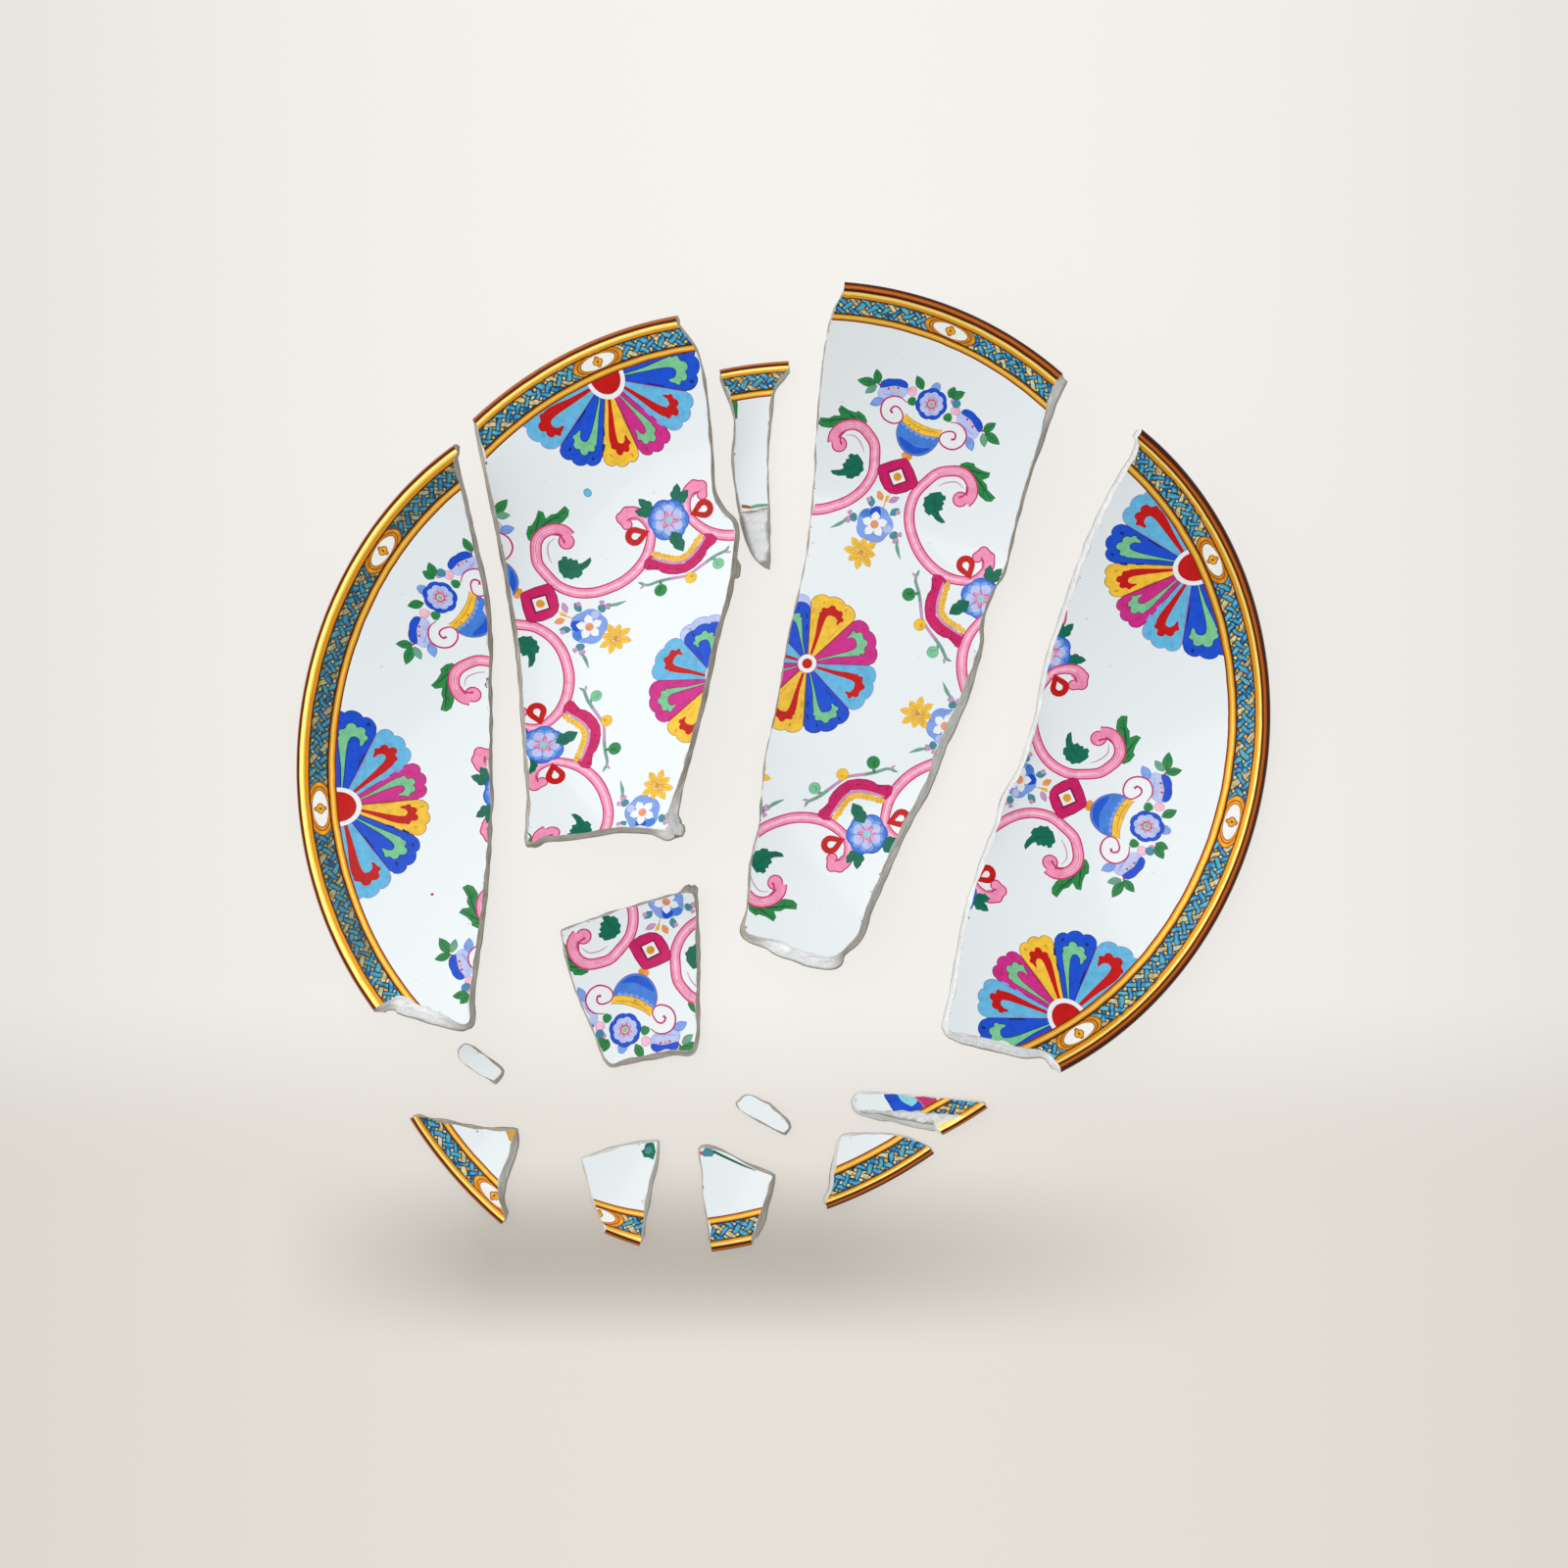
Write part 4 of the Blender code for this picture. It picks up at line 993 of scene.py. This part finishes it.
    # what the finishes read: how deep in the break, how shell-like it is and how pale it is painted where it faces the
    # light, where in the border, and how near a broken edge
    r = np.hypot(*verts[:, :2].T)
    deep, shell_and_lit_at, nicked = np.ones(len(verts)), np.zeros(len(verts)), np.zeros(len(verts))
    squeeze = piece.get("squeeze", 1)
    if "skew" in piece:
        round_at = np.degrees(np.arctan2(verts[:, 1], verts[:, 0])) % 360
        squeeze = squeeze + piece["skew"] * np.radians(round_at - np.mean(piece["rim"]))
    lip_ring = RIM_R - (RIM_R - start) * piece.get("squeeze", 1)
    ring = RIM_R - (RIM_R - r) * squeeze
    ring[bottom:] = LIP_END + 2.5
    for k, f in enumerate(steps):
        row = slice(first + k * n, first + (k + 1) * n)
        # painted light: the breaks of a shard that lies with them to the light are painted pale and glassy, by its
        # pale value
        deep[row], shell_and_lit_at[row] = f, np.maximum(shell, piece.get("pale", 0))
        ring[row] = np.where(on_lip, lip_ring + LIP_ROUND * f, BORDER - 0.4)
    # painted reflection: on some shards the gilt lip's painted highlight and painted dark reflection are moved further
    # in, as that lip lies to the light
    ring += piece.get("lip_reflection_shift", 0) * np.clip((ring - REFLECTION_FROM) / 1.6, 0, 1)
    shell_and_lit_at[:first] = np.clip(spalled(tp, piece) * 2, 0, 1)
    deep[:first] = np.clip(spalled(tp, piece), 0, 0.5)
    deep[bottom:] = 0.92
    for i, path in enumerate(chain):
        if not on_lip[i]:
            nicked[path] = 1
    for label, values in (("deep", deep), ("ring", ring), ("shelly", shell_and_lit_at), ("nicked", nicked)):
        tell(label, values)
    t = math.radians(piece.get("turned", 0))
    round_about = np.array([[math.cos(t), math.sin(t), 0], [-math.sin(t), math.cos(t), 0], [0, 0, 1]])
    tell("plan", (verts @ round_about).ravel(), "FLOAT_VECTOR", key="vector")
    ground = srgb(236, 243, 246)
    shade = [(*INK.get(ink, ground), 1) for ink in inks for _ in range(3)]
    tell("enamel", np.ravel(shade), "FLOAT_COLOR", "CORNER", "color")
    tell("laid", [float(ink in INK and ink != "white") for ink in inks for _ in range(3)], where="CORNER")
    # the glazed faces are smooth to their edges, and the torn ones are sharp and stony
    tri = np.array(faces)
    facing = np.cross(placed[tri[:, 1]] - placed[tri[:, 0]], placed[tri[:, 2]] - placed[tri[:, 0]])
    normals = np.zeros((len(faces), 3, 3))
    group = np.repeat((0, 1, 2), (len(tt), sides - len(tt), len(faces) - sides))
    group[sides:] += kind[sides:] == BREAK
    for g in range(4):
        chosen = group == g
        total = np.zeros((len(verts), 3))
        for c in range(3):
            np.add.at(total, tri[chosen, c], facing[chosen])
        normals[chosen] = total[tri[chosen]]
    sl = slope(r)
    ideal = np.c_[-unit(verts[:, :2]) * sl[:, None], np.ones(len(verts))] @ turn.T
    true_top = (group == 0) & (kind == FACE)
    normals[true_top] = ideal[tri[true_top]]
    normals, even, stony = of_length_one(normals), of_length_one(facing), group == 3
    normals[stony] = normals[stony] * 0.45 + even[stony][:, None] * 0.55
    mesh.normals_split_custom_set(of_length_one(normals).reshape(-1, 3).tolist())
    obj = set_down(name + "_skin", mesh)
    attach(obj, "root")
    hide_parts(name)


# two specks that the brush let fall
stray = disc("sky", -20.8, 80.2, 1.1, edge="teal") + disc("magenta", -83, -31.4, 0.5, n=8)
for seed, (name, piece) in enumerate(SHARDS.items()):
    shard(name, piece, seed, set_out(piece) + stray)

# ---- The sliver and the lower shard
# A narrow strip with a thumb's width of rim, its glaze gone from the lower third where a flake came
# off, and a four-sided piece of wall with no rim. The strip keeps a sliver of a green leaf.
sliver_bits = patch("leaf", [(16, 110.4), (18.4, 110), (17.7, 107), (16.2, 103.6), (15, 103.6), (15, 107)], "moss",
                    sharp=True)
sliver_bits += stroke("brown", [(6.8, 80.4, 0.4), (9.4, 79.9, 0.5), (11.4, 78.9, 0.4)])
sliver_bits += stroke("sage", [(11.4, 78.9, 0.45), (14, 78.6, 0.5), (17.4, 77.6, 0.4)])
LOWER = dict(
    heading=27.5, lean=25.5, toward=-135, at=(-24.2, 3.5), slip=(-1.1, -3.3, 0, -0.021, -0.036, -0.01),
    edge=[[(-68, -28, 0.6), (-71, -39), (-72, -49), (-72, -59), (-72, -70, 1)],
          [(-67, -72, 2), (-61, -74), (-52, -77), (-46, -79, 1.5)],
          [(-39, -66, 1.2), (-32, -52), (-26, -39, 1)],
          [(-27, -36, 0.5), (-38, -34), (-52, -31)]])
shard("lower_body_shard", LOWER, 10, set_out(LOWER))
shard("sliver_shard", dict(
    heading=20, lean=31.5, toward=78.5, at=(5.3, 7.6), rim=(71.5, 82.3), squeeze=1.18, lip_reflection_shift=1.3, pale=0.25,
    edge=[[(16, 107, 0.8), (15, 101), (11, 93), (9, 84), (7, 74, 0.5), (7, 68), (9, 63, 0.3)],
          [(11, 61, 0.3), (15, 72, 0.5), (19, 84, 0.6), (22, 92), (26, 100, 1), (30, 107, 1.2)]],
    spall=[((13, 78), (-0.2, -1), 17, 3.2)]), 11, sliver_bits)

# ---- The five rim shards
# Small pieces of the border with a little of the wall, fallen in a row below the rest. Most of the
# painting is off them: a corner of gold, a leaf, the edge of a blue flower.
for seed, (name, piece, bits) in enumerate([("rim_shard_a", dict(heading=3, lean=34.5, toward=-142, at=(-15.2, -51.9),
    rim=(207, 228.8), squeeze=1.25, lip_reflection_shift=1.3, edge=[[(-79, -82, 1.8), (-79.5, -78, 2.6), (-79, -74.5, 2.8),
    (-77.5, -70), (-76.5, -66, 2.5)], [(-75.5, -62, 1.2), (-81.5, -61, 0.9), (-89, -59, 1), (-94, -57),
    (-100.5, -54.5, 0.8)]]), patch("honey", [(-78.4, -61.2), (-74.4, -61.2), (-76, -65), (-76.8, -64.6), (-77.4, -63)],
    "brown", sharp=True)), ("rim_shard_b", dict(heading=20, lean=33.5, toward=-133, at=(-10.5, -37.5),
    rim=(227.2, 233), squeeze=1.2, skew=-1.9, lip_reflection_shift=1.4, pale=0.5, edge=[[(-69, -89.5, 1.2), (-67, -85, 1.5),
    (-64, -79.5), (-60, -73.5, 1.2)], [(-58, -69, 0.8), (-66, -66.5), (-74.5, -65)],
    [(-81, -64, 0.5), (-81, -76, 0.4), (-80.5, -81), (-80, -84.5)]]), patch("pine",
    [(-61.6, -68.4), (-60.4, -67.8), (-59.2, -69), (-59.4, -71.4), (-60.6, -73.2), (-61.7, -72), (-63, -71.4),
     (-63.2, -69.4), (-62.4, -69.6)], "leaf", sharp=True) + disc("teal", -61.2, -70.2, 1.1)),
    ("rim_shard_c", dict(heading=36.5, lean=33.5, toward=-115.5, at=(-37.5, -34.7), rim=(240, 246.4), squeeze=1.16,
                         lip_reflection_shift=1.5, edge=[[(-42.5, -105, 2), (-38.5, -102.5, 2.2), (-34.5, -100, 2)],
    [(-30.5, -97.5, 1.2), (-35, -91, 0.8), (-39.5, -84)], [(-42.5, -79.5, 0.6), (-45, -78.5)],
    [(-48, -83.5, 0.4), (-51.5, -89), (-54.5, -94.5)]]), patch("teal", [(-45.4, -79.6), (-42.6, -79), (-41.2, -82),
    (-43, -82.4), (-45.2, -80.8)], sharp=True) + disc("crimson", -45.4, -79.4, 0.6, n=8)
     + stroke("moss", [(-41.8, -81.4, 0.4), (-39.6, -85, 0.35), (-36.6, -89.6, 0.3), (-33.8, -93.4, 0.12)])),
    ("rim_shard_d", dict(heading=34.2, lean=34, toward=-98, at=(-6.1, -10.8), rim=(263.8, 272), squeeze=1.19,
                         turned=12, lip_reflection_shift=1.4, pale=0.8, edge=[[(-3.5, -111.5, 0.3), (-12, -106), (-20.5, -100),
    (-25, -97, 0.5), (-28.5, -95, 1)], [(-31, -96, 1), (-31, -99), (-25.5, -105, 0.8), (-20, -110, 1)]],
                         spall=[((-15, -109), (-0.55, -0.85), 6, 2.6)]), patch("royal",
    [(-21.2, -99.4), (-18, -101), (-11, -106.6), (-11, -109.6), (-15, -110), (-17.4, -108.8), (-18.7, -107.2),
     (-20.5, -107.2), (-21.6, -105.3), (-21.6, -102.4)], "navy") + patch("azure",
    [(-20.4, -103), (-19, -104.6), (-19.4, -106), (-20.6, -105)]) + patch("aqua",
    [(-17.5, -101.4), (-13.8, -104.6), (-13.7, -106.4), (-16.1, -106.6), (-16.8, -105.5), (-17.8, -103.9)])
     + patch("crimson", [(-13.4, -104.6), (-8, -108.6), (-10.6, -109.6), (-12.6, -109.2), (-12.8, -107.1)], "salmon")),
    ("rim_shard_e", dict(heading=52.2, lean=34.5, toward=-114.5, at=(-24.3, -26.6), rim=(235.8, 254.6), squeeze=1.09,
                         lip_reflection_shift=2.0, pale=0.5, edge=[[(-32, -109, 0.4), (-35.5, -102.5), (-41, -96, 0.5)],
    [(-46.5, -90.5, 0.8), (-49, -91, 1.2), (-53.5, -93, 1.5), (-57.5, -94.5), (-61, -96, 1.2)]]), []),]):
    shard(name, piece, 20 + seed, bits)

# ---- The two chips
# Flakes of plain white wall, thinner than the plate, no bigger than a fingernail.
for seed, (name, piece) in enumerate({
    "chip_a": dict(
        heading=0, lean=0, toward=0, at=(-98, -95.5), thick=2.6,
        edge=[[(-7, 4, 0.5), (-6.6, 1.3, 0.3), (-3, -1.7), (3.3, -5.5)],
              [(4.5, -6, 1), (6, -4.5), (6.8, -2.8)],
              [(6, -1.5, 0.8), (0, 3, 0.6), (-4.5, 5.8, 0.3)]]),
    "chip_b": dict(
        heading=0, lean=0, toward=0, at=(-7, -112), thick=2.8,
        edge=[[(-8, 3.5, 0.6), (-7.4, 2, 0.5), (-5, 0.2, 0.4), (5.2, -5.6, 0.5)],
              [(7.2, -6, 1), (8.4, -3.4)],
              [(2.2, 3, 0.5), (-4.5, 6, 0.4)]]),
}.items()):
    shard(name, piece, 30 + seed, [])
